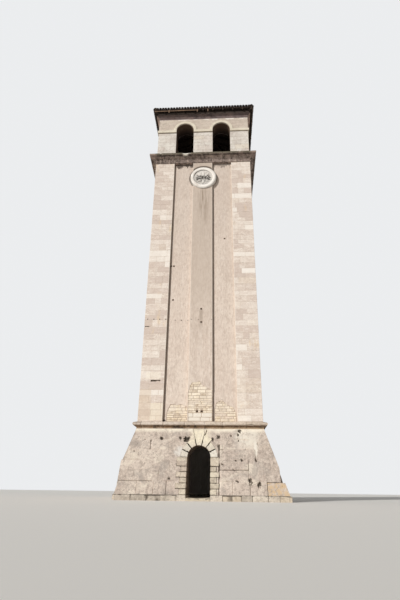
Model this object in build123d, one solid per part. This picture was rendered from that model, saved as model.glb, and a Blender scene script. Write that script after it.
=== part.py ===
from build123d import *
import math
import os

# A square masonry bell tower. Millimetres, +Z up, ground level at z = 0, the doorway faces -Y.
# A course is a level ring of stone; each ring is made as four sides with mitred corners.

# Shaft: corner pilasters, a middle strip and two sunk panels on every face
shaft_width = 6500
shaft_height = 17320
shaft_wall = 1300
pilaster_width = 1300
strip_width = 1300
panel_recess = 150

# Battered base and the plinth course that it stands on
base_height = 3050
base_shoulder = 20
base_batter = 950
plinth_step = 70
plinth_height = 260

# Doorway, with a dressed surround let into the front of the base
door_width = 1120
door_spring = 1930
threshold_height = 150
surround_depth = 300
joint_gap = 10
quoin_height = 248
quoin_courses = 5
quoin_long_left = 515
quoin_short_left = 330
quoin_long_right = 430
quoin_short_right = 315
voussoir_angles = (-90, -66, -42, -14, 12, 37, 64, 90)
voussoir_lengths = (350, 350, 370, base_height, 510, 350, 350)

# Front left corner of the base, rebuilt steeper than the batter and slightly proud at its top;
# its setbacks, and that of the lost stone's bed, are measured in from the foot of the batter
repair_height = 1790
repair_size = 1200
repair_foot_setback = 352
repair_head_setback = 404
repair_plinth_step = 30

# Front right corner of the base: a large corner stone in open joints, and the stone above it lost
corner_stone_width = 990
corner_stone_top = 835
corner_stone_depth = 800
open_joint = 25
lost_stone_top = 1450
lost_stone_setback = 370

# Moulding between base and shaft
base_moulding_height = 370
roll_radius = 95
roll_projection = 210
moulding_neck = 30
hollow_curve = 0.2

# Lost render: patches where the coursed rubble shows, as outlines on the front, and old scaffold holes
render_thickness = 25
strip_patch = ((-600, 3600), (-640, 4520), (-630, 5250), (-540, 5540), (-420, 5720), (-230, 5720),
               (-10, 5790), (70, 5600), (370, 5440), (700, 5250), (700, 3600))
left_panel_patch = ((-1770, 3600), (-1750, 4180), (-1630, 4470), (-1570, 4590), (-1390, 4590),
                    (-1220, 4530), (-1010, 4580), (-600, 4440), (-600, 3600))
right_panel_patch = ((760, 3600), (760, 4340), (860, 4660), (1010, 4750), (1170, 4840), (1260, 4700),
                     (1470, 4550), (1730, 4440), (1900, 4140), (1920, 3600))
scaffold_hole = 110
scaffold_hole_depth = 200
strip_holes = ((10, 10020), (20, 9190), (-150, 4200), (100, 4200))
panel_holes = ((-1880, 12960), (-1710, 12950), (-1680, 10670), (1420, 14890))

# Medallion on the front strip
medallion_width = 1770
medallion_rim = 255
medallion_drop = 1335
medallion_shift = 40
medallion_rim_depth = 130
medallion_field_depth = 50
medallion_bevel = 60
rosette_petals = 8
rosette_petal_depth = 45
rosette_petal_width = 200
rosette_bevel = 30
rosette_margin = 60
rosette_boss_width = 260
rosette_boss_height = 70

# Cornice under the belfry
cornice_projection = 410
cornice_height = 630
cornice_fascia = 170
cornice_fillet = 60
cornice_bead = 60

# Belfry
belfry_setback = 27.5
belfry_wall = 1000
belfry_pier_width = 1300
belfry_middle_pier = 1360
sill_height = 200
impost_underside = 2100
impost_height = 210
belfry_wall_above_spring = 1080
archivolt_width = 210
band_projection = 70
belfry_floor_thickness = 180

# Eaves and roof
cove_height = 260
cove_projection = 205
eaves_overhang = 422.5
roof_pitch = 20
tile_depth = 175
board_thickness = 30
board_setback = 30
rafter_setback = 60
rafter_width = 90
rafter_depth = 120
rafters_each_side = 9
hip_rafter_width = 120
plate_width = 260
plate_height = 300
plate_setback = 60
hip_tile_radius = 110

# Levels and reaches that follow from the sizes above; a reach is a distance out from the tower's axis
half_shaft = shaft_width / 2
half_chamber = half_shaft - shaft_wall
base_top_reach = half_shaft + base_shoulder
base_reach = base_top_reach + base_batter
plinth_reach = base_reach + plinth_step
repair_foot_reach = base_reach - repair_foot_setback
repair_head_reach = base_reach - repair_head_setback
lost_stone_reach = base_reach - lost_stone_setback
base_top = plinth_height + base_height
shaft_bottom = base_top + base_moulding_height
shaft_top = shaft_bottom + shaft_height
medallion_centre = shaft_top - medallion_drop
cornice_top = shaft_top + cornice_height
half_belfry = half_shaft - belfry_setback
belfry_inner = half_belfry - belfry_wall
sill_top = cornice_top + sill_height
impost_bottom = sill_top + impost_underside
belfry_spring = impost_bottom + impost_height
wall_top = belfry_spring + belfry_wall_above_spring
cove_top = wall_top + cove_height
opening_width = half_belfry - belfry_pier_width - belfry_middle_pier / 2
opening_centre = belfry_middle_pier / 2 + opening_width / 2
eaves_reach = half_belfry + eaves_overhang
far = 2 * plinth_reach
sky = 2 * cove_top

SIDES = {"front": 0, "right": 90, "back": 180, "left": 270}


def block(x0, x1, y0, y1, z0, z1):
    """A solid between three pairs of planes."""
    return Pos((x0 + x1) / 2, (y0 + y1) / 2, (z0 + z1) / 2) * Box(x1 - x0, y1 - y0, z1 - z0)


def section(*edges):
    """A face across the front side; its points are (distance out from the axis, height)."""
    face = make_face(Curve() + list(edges))
    return Plane(origin=(0, 0, 0), x_dir=(0, -1, 0), z_dir=(-1, 0, 0)) * face


def section_of(*points):
    """The same, with straight edges only."""
    return section(Polyline(*points, close=True))


def curved(start, end, bulge):
    """An arc that stands off its chord by a share of the chord's length."""
    return SagittaArc(start, end, bulge * math.dist(start, end))


def front_wedge():
    """The part of space that belongs to the front, up to the mitre planes."""
    plan = make_face(Polyline((0, 0), (-far, -far), (far, -far), close=True))
    return extrude(plan, amount=sky)


def front_side(face):
    """The section run along the front and mitred at both corners."""
    return extrude(face, amount=far, both=True) & front_wedge()


def turned(piece, side):
    """A piece of the front, turned to another side."""
    return piece.rotate(Axis.Z, SIDES[side])


def group(piece, *sides):
    """Copies of a front piece on sides where they don't meet."""
    return Compound([solid for side in sides for solid in turned(piece, side).solids()])


def ring_pairs(parts, name, piece):
    """A ring of four mitred sides, as two nodes."""
    parts[name + "_front_back"] = group(piece, "front", "back")
    parts[name + "_sides"] = group(piece, "left", "right")


def cylinder_y(x, z, radius, y0, y1):
    """A level cylinder that runs from front to back."""
    circle = Plane(origin=(x, y0, z), x_dir=(1, 0, 0), z_dir=(0, 1, 0)) * Circle(radius)
    return extrude(circle, amount=y1 - y0)


def prism_y(points, y0, y1):
    """An outline of (x, height) points, run from front to back."""
    outline = make_face(Polyline(*points, close=True))
    return extrude(Plane(origin=(0, y1, 0), x_dir=(1, 0, 0), z_dir=(0, -1, 0)) * outline, amount=y1 - y0)


def arched_cut(x, width, z0, spring, y0, y1):
    """The space of a round-headed opening."""
    return block(x - width / 2, x + width / 2, y0, y1, z0, spring) + cylinder_y(x, spring, width / 2, y0, y1)


def repair_region(reach, z0, z1):
    """The space outside a reach at the rebuilt corner."""
    inner = -(base_reach - repair_size)
    return block(-far, -reach, -far, inner, z0, z1)


def plinth(parts):
    side = front_side(section_of((half_chamber, 0), (plinth_reach, 0),
                                 (plinth_reach, plinth_height), (half_chamber, plinth_height)))
    doorway = block(-door_width / 2, door_width / 2, -far, 0, 0, plinth_height)
    cut_back = repair_region(repair_foot_reach + repair_plinth_step, 0, plinth_height)
    parts["plinth_front"] = Compound((side - doorway - cut_back).solids())
    left = (turned(side, "left") - cut_back).solids()
    parts["plinth_sides"] = Compound(left + turned(side, "right").solids())
    parts["plinth_back"] = turned(side, "back")
    half_door = door_width / 2
    parts["threshold"] = block(-half_door, half_door, -plinth_reach, -half_chamber, 0, threshold_height)
    inner = half_chamber
    parts["ground_floor"] = block(-inner, inner, -inner, inner, 0, threshold_height)


def quoins(wall, edge, long, short, back):
    """Dressed jamb stones in open joints, long and short by turns, and the seat that they are let into."""
    courses = [plinth_height + course * quoin_height for course in range(quoin_courses)]
    courses.append(courses[-1] + quoin_height)
    levels = list(zip(courses, courses[1:] + [door_spring]))
    stones, seat = [], None
    for course, (low, high) in enumerate(levels):
        width = long if course % 2 == 1 else short
        outer = edge + math.copysign(width, edge)
        x0, x1 = sorted((edge, outer))
        bed = block(x0, x1, -far, back, low, high)
        seat = bed if seat is None else seat + bed
        stone = block(x0, x1, -far, back, low + (joint_gap if course else 0), high)
        stones += (wall & stone).solids()
    return Compound(stones), seat


def voussoirs(wall, back):
    """Wedge stones of the door arch in open joints; the keystone is cut off at the top of the base."""
    radius = door_width / 2
    gap = joint_gap / radius / 2
    stones, seat = [], None
    for start, end, length in zip(voussoir_angles, voussoir_angles[1:], voussoir_lengths):
        ring = cylinder_y(0, door_spring, radius + length, -far, back)
        ring &= block(-far, far, -far, back, door_spring, base_top)
        wedges = []
        for inset in (0, gap):
            rays = [math.radians(start) + inset, math.radians(end) - inset]
            ends = [(far * math.sin(ray), door_spring + far * math.cos(ray)) for ray in rays]
            wedges.append(prism_y([(0, door_spring), *ends], -far, back) & ring)
        seat = wedges[0] if seat is None else seat + wedges[0]
        stones += (wall & wedges[1]).solids()
    return Compound(stones), seat


def battered_base(parts):
    face = section_of((half_chamber, plinth_height), (base_reach, plinth_height),
                      (base_top_reach, base_top), (half_chamber, base_top))
    side = front_side(face)
    left_wall, right_wall = turned(side, "left"), turned(side, "right")

    # The rebuilt corner takes its front from the batter and has a steep side of its own
    inner = -(base_reach - repair_size)
    space = repair_region(-inner, plinth_height, repair_height)
    steep_side = prism_y([(inner, plinth_height), (-repair_foot_reach, plinth_height),
                          (-repair_head_reach, repair_height), (inner, repair_height)], -far, inner)
    parts["rebuilt_corner"] = extrude(face, amount=far, both=True) & steep_side
    left_wall -= space

    # The lost stone, and the open joints over and beside the corner stone
    stone_left = base_reach - corner_stone_width
    stone_back = -base_reach + corner_stone_depth
    lost = block(lost_stone_reach, far, -far, stone_back, corner_stone_top, lost_stone_top)
    bed_joint = block(stone_left, far, -far, stone_back, corner_stone_top - open_joint, corner_stone_top)
    side_joint = block(stone_left - open_joint, stone_left, -far, stone_back, plinth_height, corner_stone_top)
    worn = lost + bed_joint + side_joint
    right_wall -= worn

    doorway = arched_cut(0, door_width, 0, door_spring, -far, 0)
    wall = side - doorway - space - worn
    edge = door_width / 2
    back = -base_top_reach + surround_depth
    parts["door_jamb_left"], left_seat = quoins(wall, -edge, quoin_long_left, quoin_short_left, back)
    parts["door_jamb_right"], right_seat = quoins(wall, edge, quoin_long_right, quoin_short_right, back)
    parts["door_arch"], arch_seat = voussoirs(wall, back)
    head = block(-edge - quoin_long_left, edge + quoin_long_right, -far, 0, door_spring, base_top)
    parts["base_front_head"] = (wall & head) - arch_seat
    flank = wall - head - left_seat - right_seat - arch_seat
    parts["base_front_left"] = flank & block(-far, 0, -far, 0, 0, base_top)
    parts["base_front_right"] = flank & block(0, far, -far, 0, 0, base_top)
    parts["base_left"] = left_wall
    parts["base_right"] = right_wall
    parts["base_back"] = turned(side, "back")


def base_moulding(parts):
    """A half-round roll over a hollow, with a sloping top."""
    roll = base_top + base_moulding_height / 2 + roll_radius / 2
    neck = half_shaft + roll_projection - roll_radius
    hollow_foot = (base_top_reach, base_top + moulding_neck)
    hollow_head = (neck, roll - roll_radius)
    face = section(
        Polyline((half_chamber, base_top), (base_top_reach, base_top), hollow_foot),
        curved(hollow_foot, hollow_head, hollow_curve),
        ThreePointArc(hollow_head, (neck + roll_radius, roll), (neck, roll + roll_radius)),
        Polyline((neck, roll + roll_radius), (half_shaft, shaft_bottom),
                 (half_chamber, shaft_bottom), (half_chamber, base_top)),
    )
    ring_pairs(parts, "base_moulding", front_side(face))


def corner_pier(half, pier, wall, z0, z1):
    """A corner pier of the front left: as wide as the pier, no deeper than the wall."""
    pier_block = block(-half, pier - half, -half, pier - half, z0, z1)
    return pier_block - block(wall - half, half, wall - half, half, z0, z1)


def scaffold_holes(places, face):
    """Square pockets that a scaffold's timbers left in the masonry."""
    size, depth = scaffold_hole / 2, scaffold_hole_depth
    return [block(x - size, x + size, face - depth, face + depth, z - size, z + size) for x, z in places]


def shaft(parts):
    panel_face = -half_shaft + panel_recess
    pier = corner_pier(half_shaft, pilaster_width, shaft_wall, shaft_bottom, shaft_top)
    parts["shaft_corner_pilasters"] = group(pier, *SIDES)
    strip = block(-strip_width / 2, strip_width / 2, -half_shaft, -half_chamber, shaft_bottom, shaft_top)
    between = front_wedge() & block(-half_shaft + pilaster_width, half_shaft - pilaster_width,
                                    panel_face, -half_chamber, shaft_bottom, shaft_top)
    panels = between - strip
    for name in SIDES:
        parts["shaft_strip_" + name] = turned(strip, name)
        parts["shaft_panels_" + name] = Compound(turned(panels, name).solids())
    parts["shaft_strip_front"] -= cylinder_y(medallion_shift, medallion_centre, medallion_width / 2,
                                             -far, panel_face)
    parts["shaft_strip_front"] -= prism_y(strip_patch, -far, -half_shaft + render_thickness)
    for hole in scaffold_holes(strip_holes, -half_shaft):
        parts["shaft_strip_front"] -= hole
    front_panels = panels
    for patch in (left_panel_patch, right_panel_patch):
        front_panels -= prism_y(patch, -far, panel_face + render_thickness)
    for hole in scaffold_holes(panel_holes, panel_face):
        front_panels -= hole
    parts["shaft_panels_front"] = Compound(front_panels.solids())


def medallion(parts):
    """A round stone let into the strip, with a raised rim about a sunk field and a plain rosette."""
    back = -half_shaft + panel_recess
    face = -half_shaft - medallion_rim_depth
    field = -half_shaft - medallion_field_depth
    radius = medallion_width / 2
    field_radius = radius - medallion_rim
    lip = medallion_rim_depth - medallion_field_depth
    rim = make_face(Polyline((0, back), (radius, back), (radius, face + medallion_bevel),
                             (radius - medallion_bevel, face), (field_radius + lip, face),
                             (field_radius, field), (0, field), close=True))
    parts["medallion_rim"] = Pos(medallion_shift, 0, medallion_centre) * revolve(rim, Axis.Y)
    boss_radius = rosette_boss_width / 2
    crown = boss_radius / 2
    dome = make_face(Polyline((0, 0), (boss_radius, 0), (crown, -rosette_boss_height),
                              (0, -rosette_boss_height), close=True))
    rosette = revolve(dome, Axis.Y)
    tip = field_radius - rosette_margin
    middle = (boss_radius + tip) / 2
    half_petal = rosette_petal_width / 2
    corners = [(0, crown), (half_petal, middle), (0, tip), (-half_petal, middle)]
    petal = make_face(Polyline(*corners, close=True))
    petal = extrude(Plane.XZ * petal, amount=rosette_petal_depth, taper=rosette_bevel)
    for turn in range(rosette_petals):
        rosette += petal.rotate(Axis.Y, turn * 360 / rosette_petals)
    parts["medallion_relief"] = Pos(medallion_shift, field, medallion_centre) * rosette


def cornice(parts):
    """A bead, a hollow and a deep top fascia, run round the head of the shaft."""
    reach = half_shaft + cornice_projection
    fascia_foot = cornice_top - cornice_fascia
    fillet_reach = reach - cornice_fillet
    half_fillet = cornice_fillet / 2
    bead_foot = (half_shaft, shaft_top)
    bead_head = (half_shaft, shaft_top + 2 * cornice_bead)
    hollow_head = (fillet_reach - cornice_fillet, fascia_foot - cornice_fillet)
    face = section(
        Polyline((half_chamber, shaft_top), bead_foot),
        ThreePointArc(bead_foot, (half_shaft + cornice_bead, shaft_top + cornice_bead), bead_head),
        curved(bead_head, hollow_head, hollow_curve),
        Polyline(hollow_head, (hollow_head[0], fascia_foot - half_fillet),
                 (fillet_reach, fascia_foot - half_fillet), (fillet_reach, fascia_foot),
                 (reach, fascia_foot), (reach, cornice_top - half_fillet),
                 (reach - half_fillet, cornice_top), (half_chamber, cornice_top), (half_chamber, shaft_top)),
    )
    ring_pairs(parts, "cornice", front_side(face))


def belfry(parts):
    inner = belfry_inner
    sill = front_side(section_of((inner, cornice_top), (half_belfry, cornice_top),
                                 (half_belfry, sill_top), (inner, sill_top)))
    ring_pairs(parts, "belfry_sill", sill)
    floor_top = cornice_top + belfry_floor_thickness
    parts["belfry_floor"] = block(-inner, inner, -inner, inner, cornice_top, floor_top)
    pier = corner_pier(half_belfry, belfry_pier_width, belfry_wall, sill_top, belfry_spring)
    parts["belfry_corner_piers"] = group(pier, *SIDES)
    half_middle = belfry_middle_pier / 2
    middle = block(-half_middle, half_middle, -half_belfry, -inner, sill_top, belfry_spring)
    parts["belfry_middle_piers"] = group(middle, *SIDES)
    arches = front_side(section_of((inner, belfry_spring), (half_belfry, belfry_spring),
                                   (half_belfry, wall_top), (inner, wall_top)))
    for x in (-opening_centre, opening_centre):
        arches -= cylinder_y(x, belfry_spring, opening_width / 2, -far, 0)
    ring_pairs(parts, "belfry_arches", arches)


def arch_bands(parts):
    """A flat band at impost level that turns up over each opening as an archivolt."""
    face = half_belfry + band_projection
    course = front_side(section_of((half_belfry, impost_bottom), (face, impost_bottom),
                                   (face, wall_top), (half_belfry, wall_top)))
    band = course & block(-far, far, -far, 0, impost_bottom, belfry_spring)
    for x in (-opening_centre, opening_centre):
        ring = cylinder_y(x, belfry_spring, opening_width / 2 + archivolt_width, -face, -half_belfry)
        band += ring & block(-far, far, -far, 0, belfry_spring, wall_top)
    for x in (-opening_centre, opening_centre):
        band -= arched_cut(x, opening_width, impost_bottom, belfry_spring, -far, 0)
    ring_pairs(parts, "arch_bands", band)


def eaves(parts):
    """A hollow cove on the belfry wall, and the wall plate that the rafters stand on."""
    foot, head = (half_belfry, wall_top), (half_belfry + cove_projection, cove_top)
    cove = front_side(section(
        Polyline((belfry_inner, wall_top), foot),
        curved(foot, head, hollow_curve),
        Polyline(head, (belfry_inner, cove_top), (belfry_inner, wall_top)),
    ))
    ring_pairs(parts, "eaves_cove", cove)
    outer = head[0] - plate_setback
    inner, plate_top = outer - plate_width, cove_top + plate_height
    plate = front_side(section_of((inner, cove_top), (outer, cove_top), (outer, plate_top), (inner, plate_top)))
    parts["roof_wall_plate"] = whole_roof(plate)


def roof_height(out, depth):
    """Height of a layer of the roof, at a distance out from the axis and a depth below the tiles' tops."""
    pitch = math.radians(roof_pitch)
    seat = cove_top + plate_height
    seat_reach = half_belfry + cove_projection - plate_setback
    top = seat + rafter_depth / math.cos(pitch) + board_thickness + tile_depth
    return top + (seat_reach - out) * math.tan(pitch) - depth


def slope(reach, top, bottom):
    """One mitred slope of the roof, between two depths below the tiles' tops."""
    return front_side(section_of((0, roof_height(0, top)), (0, roof_height(0, bottom)),
                                 (reach, roof_height(reach, bottom)), (reach, roof_height(reach, top))))


def whole_roof(layer):
    """The four sides of a layer as one ring."""
    ring = layer
    for name in ("right", "back", "left"):
        ring += turned(layer, name)
    return ring


def roof(parts):
    under_tiles = tile_depth
    under_boards = under_tiles + board_thickness
    under_rafters = under_boards + rafter_depth / math.cos(math.radians(roof_pitch))
    tiles = slope(eaves_reach, 0, under_tiles)
    for name in SIDES:
        parts["roof_tiles_" + name] = turned(tiles, name)
    parts["roof_boards"] = whole_roof(slope(eaves_reach - board_setback, under_tiles, under_boards))
    rafter_reach = eaves_reach - rafter_setback
    layer = slope(rafter_reach, under_boards, under_rafters)
    hip_bar = block(-far, far, -hip_rafter_width / 2, hip_rafter_width / 2, wall_top, sky)
    hips = hip_bar.rotate(Axis.Z, 45) + hip_bar.rotate(Axis.Z, -45)
    parts["hip_rafters"] = whole_roof(layer & hips)
    spacing = 2 * rafter_reach / (rafters_each_side + 1)
    jacks = []
    for place in range(rafters_each_side):
        x = (place - (rafters_each_side - 1) / 2) * spacing
        bar = block(x - rafter_width / 2, x + rafter_width / 2, -far, 0, wall_top, sky)
        jacks += ((layer & bar) - hips).solids()
    parts["jack_rafters"] = group(Compound(jacks), *SIDES)


def hip_tiles(parts):
    """Round tiles over the four hips, bedded on the covering and mitred where they meet at the top."""
    apex = roof_height(0, 0)
    incline = math.atan(math.tan(math.radians(roof_pitch)) / math.sqrt(2))
    # Square to a hip, the covering falls away on both sides at this angle
    side_fall = math.atan(math.sin(incline))
    foot = (hip_tile_radius * math.cos(side_fall), -hip_tile_radius * math.sin(side_fall))
    cap = make_face(Curve() + [ThreePointArc(foot, (0, hip_tile_radius), (-foot[0], foot[1])),
                               Polyline((-foot[0], foot[1]), (0, 0), foot)])
    across_hip = Plane(origin=(0, 0, apex), x_dir=(0, 1, 0), z_dir=(math.cos(incline), 0, -math.sin(incline)))
    quarter = extrude(make_face(Polyline((0, 0), (far, -far), (far, far), close=True)), amount=sky)
    hip = extrude(across_hip * cap, amount=far, both=True) & quarter
    trim = block(-eaves_reach, eaves_reach, -eaves_reach, eaves_reach, 0, sky)
    hip = hip.rotate(Axis.Z, 45) & trim
    capping = hip
    for turn in range(1, 4):
        capping += hip.rotate(Axis.Z, 90 * turn)
    parts["hip_tiles"] = capping


def build():
    parts = {}
    for make in (plinth, battered_base, base_moulding, shaft, medallion, cornice,
                 belfry, arch_bands, eaves, roof, hip_tiles):
        make(parts)
    return parts


os.makedirs("parts", exist_ok=True)
for node, piece in build().items():
    export_step(piece, "parts/" + node + ".step")
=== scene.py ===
import itertools
import math
import random
import bmesh
import bpy
from mathutils import Matrix, Vector, noise


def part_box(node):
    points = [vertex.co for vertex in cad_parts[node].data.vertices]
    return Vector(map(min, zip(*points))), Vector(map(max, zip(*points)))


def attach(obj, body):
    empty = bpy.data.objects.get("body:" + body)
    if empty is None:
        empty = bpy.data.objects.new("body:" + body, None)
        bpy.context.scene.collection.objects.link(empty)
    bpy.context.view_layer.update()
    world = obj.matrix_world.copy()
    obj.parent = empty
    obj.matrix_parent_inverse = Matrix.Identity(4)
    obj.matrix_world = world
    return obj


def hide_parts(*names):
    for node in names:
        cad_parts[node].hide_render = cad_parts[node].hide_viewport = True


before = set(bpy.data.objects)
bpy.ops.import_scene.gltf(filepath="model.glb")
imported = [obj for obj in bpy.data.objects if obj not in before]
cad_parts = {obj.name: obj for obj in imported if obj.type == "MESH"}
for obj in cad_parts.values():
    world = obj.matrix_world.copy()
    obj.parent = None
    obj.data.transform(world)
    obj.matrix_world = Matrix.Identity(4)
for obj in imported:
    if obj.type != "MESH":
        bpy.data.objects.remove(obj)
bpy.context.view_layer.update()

# View, light and ground: the camera stands low in front, a little to the right of the door, and looks up.
# A broad lamp from the front left shows the reliefs, and an even pale sky fills the shade.
scene = bpy.context.scene
scene.view_settings.view_transform = "Standard"
camera = bpy.data.objects.new("camera", bpy.data.cameras.new("camera"))
camera.data.sensor_width = 36
camera.data.lens = 24.8
camera.data.clip_end = 500
camera_place = (1.2613, -25.1742, 0.4416)
camera_turn, camera_tilt, camera_roll = (math.radians(angle) for angle in (3.472, 24.761, 0.749))
camera.matrix_world = (
    Matrix.Translation(camera_place) @ Matrix.Rotation(camera_turn, 4, "Z") @
    Matrix.Rotation(math.pi / 2 + camera_tilt, 4, "X") @ Matrix.Rotation(camera_roll, 4, "Z"))
scene.collection.objects.link(camera)
scene.camera = camera

lamp = bpy.data.objects.new("lamp", bpy.data.lights.new("lamp", "SUN"))
lamp.data.energy = 3.0
lamp.data.angle = math.radians(4)
lamp.data.color = (1.0, 0.985, 0.96)
lamp_side, lamp_height = math.radians(39), math.radians(22)
lamp_way = Vector((math.sin(lamp_side) * math.cos(lamp_height), math.cos(lamp_side) * math.cos(lamp_height),
                   -math.sin(lamp_height)))
lamp.rotation_euler = lamp_way.to_track_quat("-Z", "Y").to_euler()
scene.collection.objects.link(lamp)

sky = bpy.data.worlds.new("sky")
sky.use_nodes = True
sky_nodes, sky_links = sky.node_tree.nodes, sky.node_tree.links
sky_ray = sky_nodes.new("ShaderNodeLightPath")
sky_shown = sky_nodes.new("ShaderNodeMath")
sky_shown.operation = "MAXIMUM"
sky_links.new(sky_ray.outputs["Is Camera Ray"], sky_shown.inputs[0])
sky_links.new(sky_ray.outputs["Is Glossy Ray"], sky_shown.inputs[1])
sky_level = sky_nodes.new("ShaderNodeMapRange")
sky_level.inputs["To Min"].default_value = 0.24
sky_level.inputs["To Max"].default_value = 0.86
sky_links.new(sky_shown.outputs[0], sky_level.inputs["Value"])
sky_nodes["Background"].inputs["Color"].default_value = (0.97, 0.985, 1.0, 1)
sky_links.new(sky_level.outputs["Result"], sky_nodes["Background"].inputs["Strength"])
scene.world = sky

floor_half = 120
floor_corners = [(x * floor_half, y * floor_half, 0) for x, y in ((-1, -1), (1, -1), (1, 1), (-1, 1))]
floor_mesh = bpy.data.meshes.new("floor")
floor_mesh.from_pydata(floor_corners, [], [(0, 1, 2, 3)])
floor = bpy.data.objects.new("floor", floor_mesh)
scene.collection.objects.link(floor)
floor_paint = bpy.data.materials.new("floor_paint")
floor_paint.use_nodes = True
floor_shader = floor_paint.node_tree.nodes["Principled BSDF"]
floor_shader.inputs["Base Color"].default_value = (0.88, 0.855, 0.81, 1)
floor_shader.inputs["Roughness"].default_value = 0.9
floor_mesh.materials.append(floor_paint)


# Footing course: long worn blocks laid on the ground all round, a hand's width proud of the base.
# Their joints have opened and filled with earth; deep places are painted dark, earth and painted shade
# together, and their top arris is rounded by feet and weather.
class Amount:
    """An amount that changes from place to place on a surface."""

    def __init__(self, mix, socket):
        self.mix = mix
        self.socket = socket

    def joined(self, other, how):
        node = self.mix.add("Math", {0: self, 1: other}, operation=how)
        return Amount(self.mix, node.outputs[0])

    def __add__(self, other):
        return self.joined(other, "ADD")

    def __sub__(self, other):
        return self.joined(other, "SUBTRACT")

    def __mul__(self, other):
        return self.joined(other, "MULTIPLY")

    def __abs__(self):
        return self.joined(0, "ABSOLUTE")

    def band(self, low, high, start=0, end=1):
        """Fades from start to end while this amount runs from low to high."""
        ends = {"Value": self, "From Min": low, "From Max": high, "To Min": start, "To Max": end}
        node = self.mix.add("MapRange", ends, interpolation_type="SMOOTHSTEP")
        return Amount(self.mix, node.outputs["Result"])


class Finish:
    """A finish built up in layers; every layer is laid out in the tower's own metres."""

    def __init__(self, name, roughness, colour):
        self.material = bpy.data.materials.new(name)
        self.material.use_nodes = True
        self.tree = self.material.node_tree
        self.shader = self.tree.nodes["Principled BSDF"]
        self.shader.inputs["Roughness"].default_value = roughness
        self.shader.inputs["Specular IOR Level"].default_value = 0.25
        self.place = self.add("TexCoord", {}).outputs["Object"]
        self.x, self.y, self.z = self.split(self.place)
        self.colour = colour
        self.normal = None

    def add(self, kind, inputs, **choices):
        """One more node, with the choices it is set to and what goes into it."""
        node = self.tree.nodes.new("ShaderNode" + kind)
        for name, choice in choices.items():
            setattr(node, name, choice)
        for name, value in inputs.items():
            socket = node.inputs[name]
            value = getattr(value, "socket", value)
            if isinstance(value, bpy.types.NodeSocket):
                self.tree.links.new(value, socket)
            elif isinstance(value, tuple) and len(value) < len(socket.default_value):
                socket.default_value = (*value, 1)
            else:
                socket.default_value = value
        return node

    def split(self, vector):
        return [Amount(self, part) for part in self.add("SeparateXYZ", {"Vector": vector}).outputs]

    def laid(self, shift, stretch=(1, 1, 1)):
        """The places on the surface, shifted and stretched."""
        node = self.add("Mapping", {"Vector": self.place, "Scale": stretch, "Location": shift})
        return node.outputs["Vector"]

    def cloud(self, scale, detail=4, shift=(0, 0, 0), rough=0.55, warp=0, stretch=(1, 1, 1)):
        node = self.add("TexNoise", {"Vector": self.laid(shift, stretch), "Scale": scale, "Detail": detail,
                                     "Roughness": rough, "Distortion": warp})
        return Amount(self, node.outputs[0])

    def cells(self, scale, shift, feature="F1"):
        node = self.add("TexVoronoi", {"Vector": self.laid(shift), "Scale": scale}, feature=feature)
        return Amount(self, node.outputs["Distance"])

    def cracks(self, scale, shift):
        return self.cells(scale, shift, "DISTANCE_TO_EDGE")

    def mark(self, name):
        """A number that the mesh carries."""
        return Amount(self, self.add("Attribute", {}, attribute_name=name).outputs["Fac"])

    def lot(self, which):
        """One of the three numbers of a block."""
        return self.split(self.add("Attribute", {}, attribute_name="lot").outputs["Vector"])[which]

    def off_axis(self, how):
        """A place's distances from the tower's axis along x and y, joined in the way named."""
        return abs(self.x).joined(abs(self.y), how)

    def away(self, x, z, squeeze=1):
        """Distance on the front from a spot, across multiplied by squeeze."""
        across, up = (self.x - x) * squeeze, self.z - z
        return (across * across + up * up).joined(0.5, "POWER")

    def paint(self, colour, amount):
        layer = {"Factor": amount, "A": self.colour, "B": colour}
        self.colour = self.add("Mix", layer, data_type="RGBA", clamp_factor=True).outputs["Result"]

    def relief(self, height, depth, strength):
        bump = {"Height": height, "Distance": depth, "Strength": strength}
        if self.normal:
            bump["Normal"] = self.normal
        self.normal = self.add("Bump", bump).outputs["Normal"]

    def done(self):
        self.tree.links.new(self.colour, self.shader.inputs["Base Color"])
        self.tree.links.new(self.normal, self.shader.inputs["Normal"])
        return self.material


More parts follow.
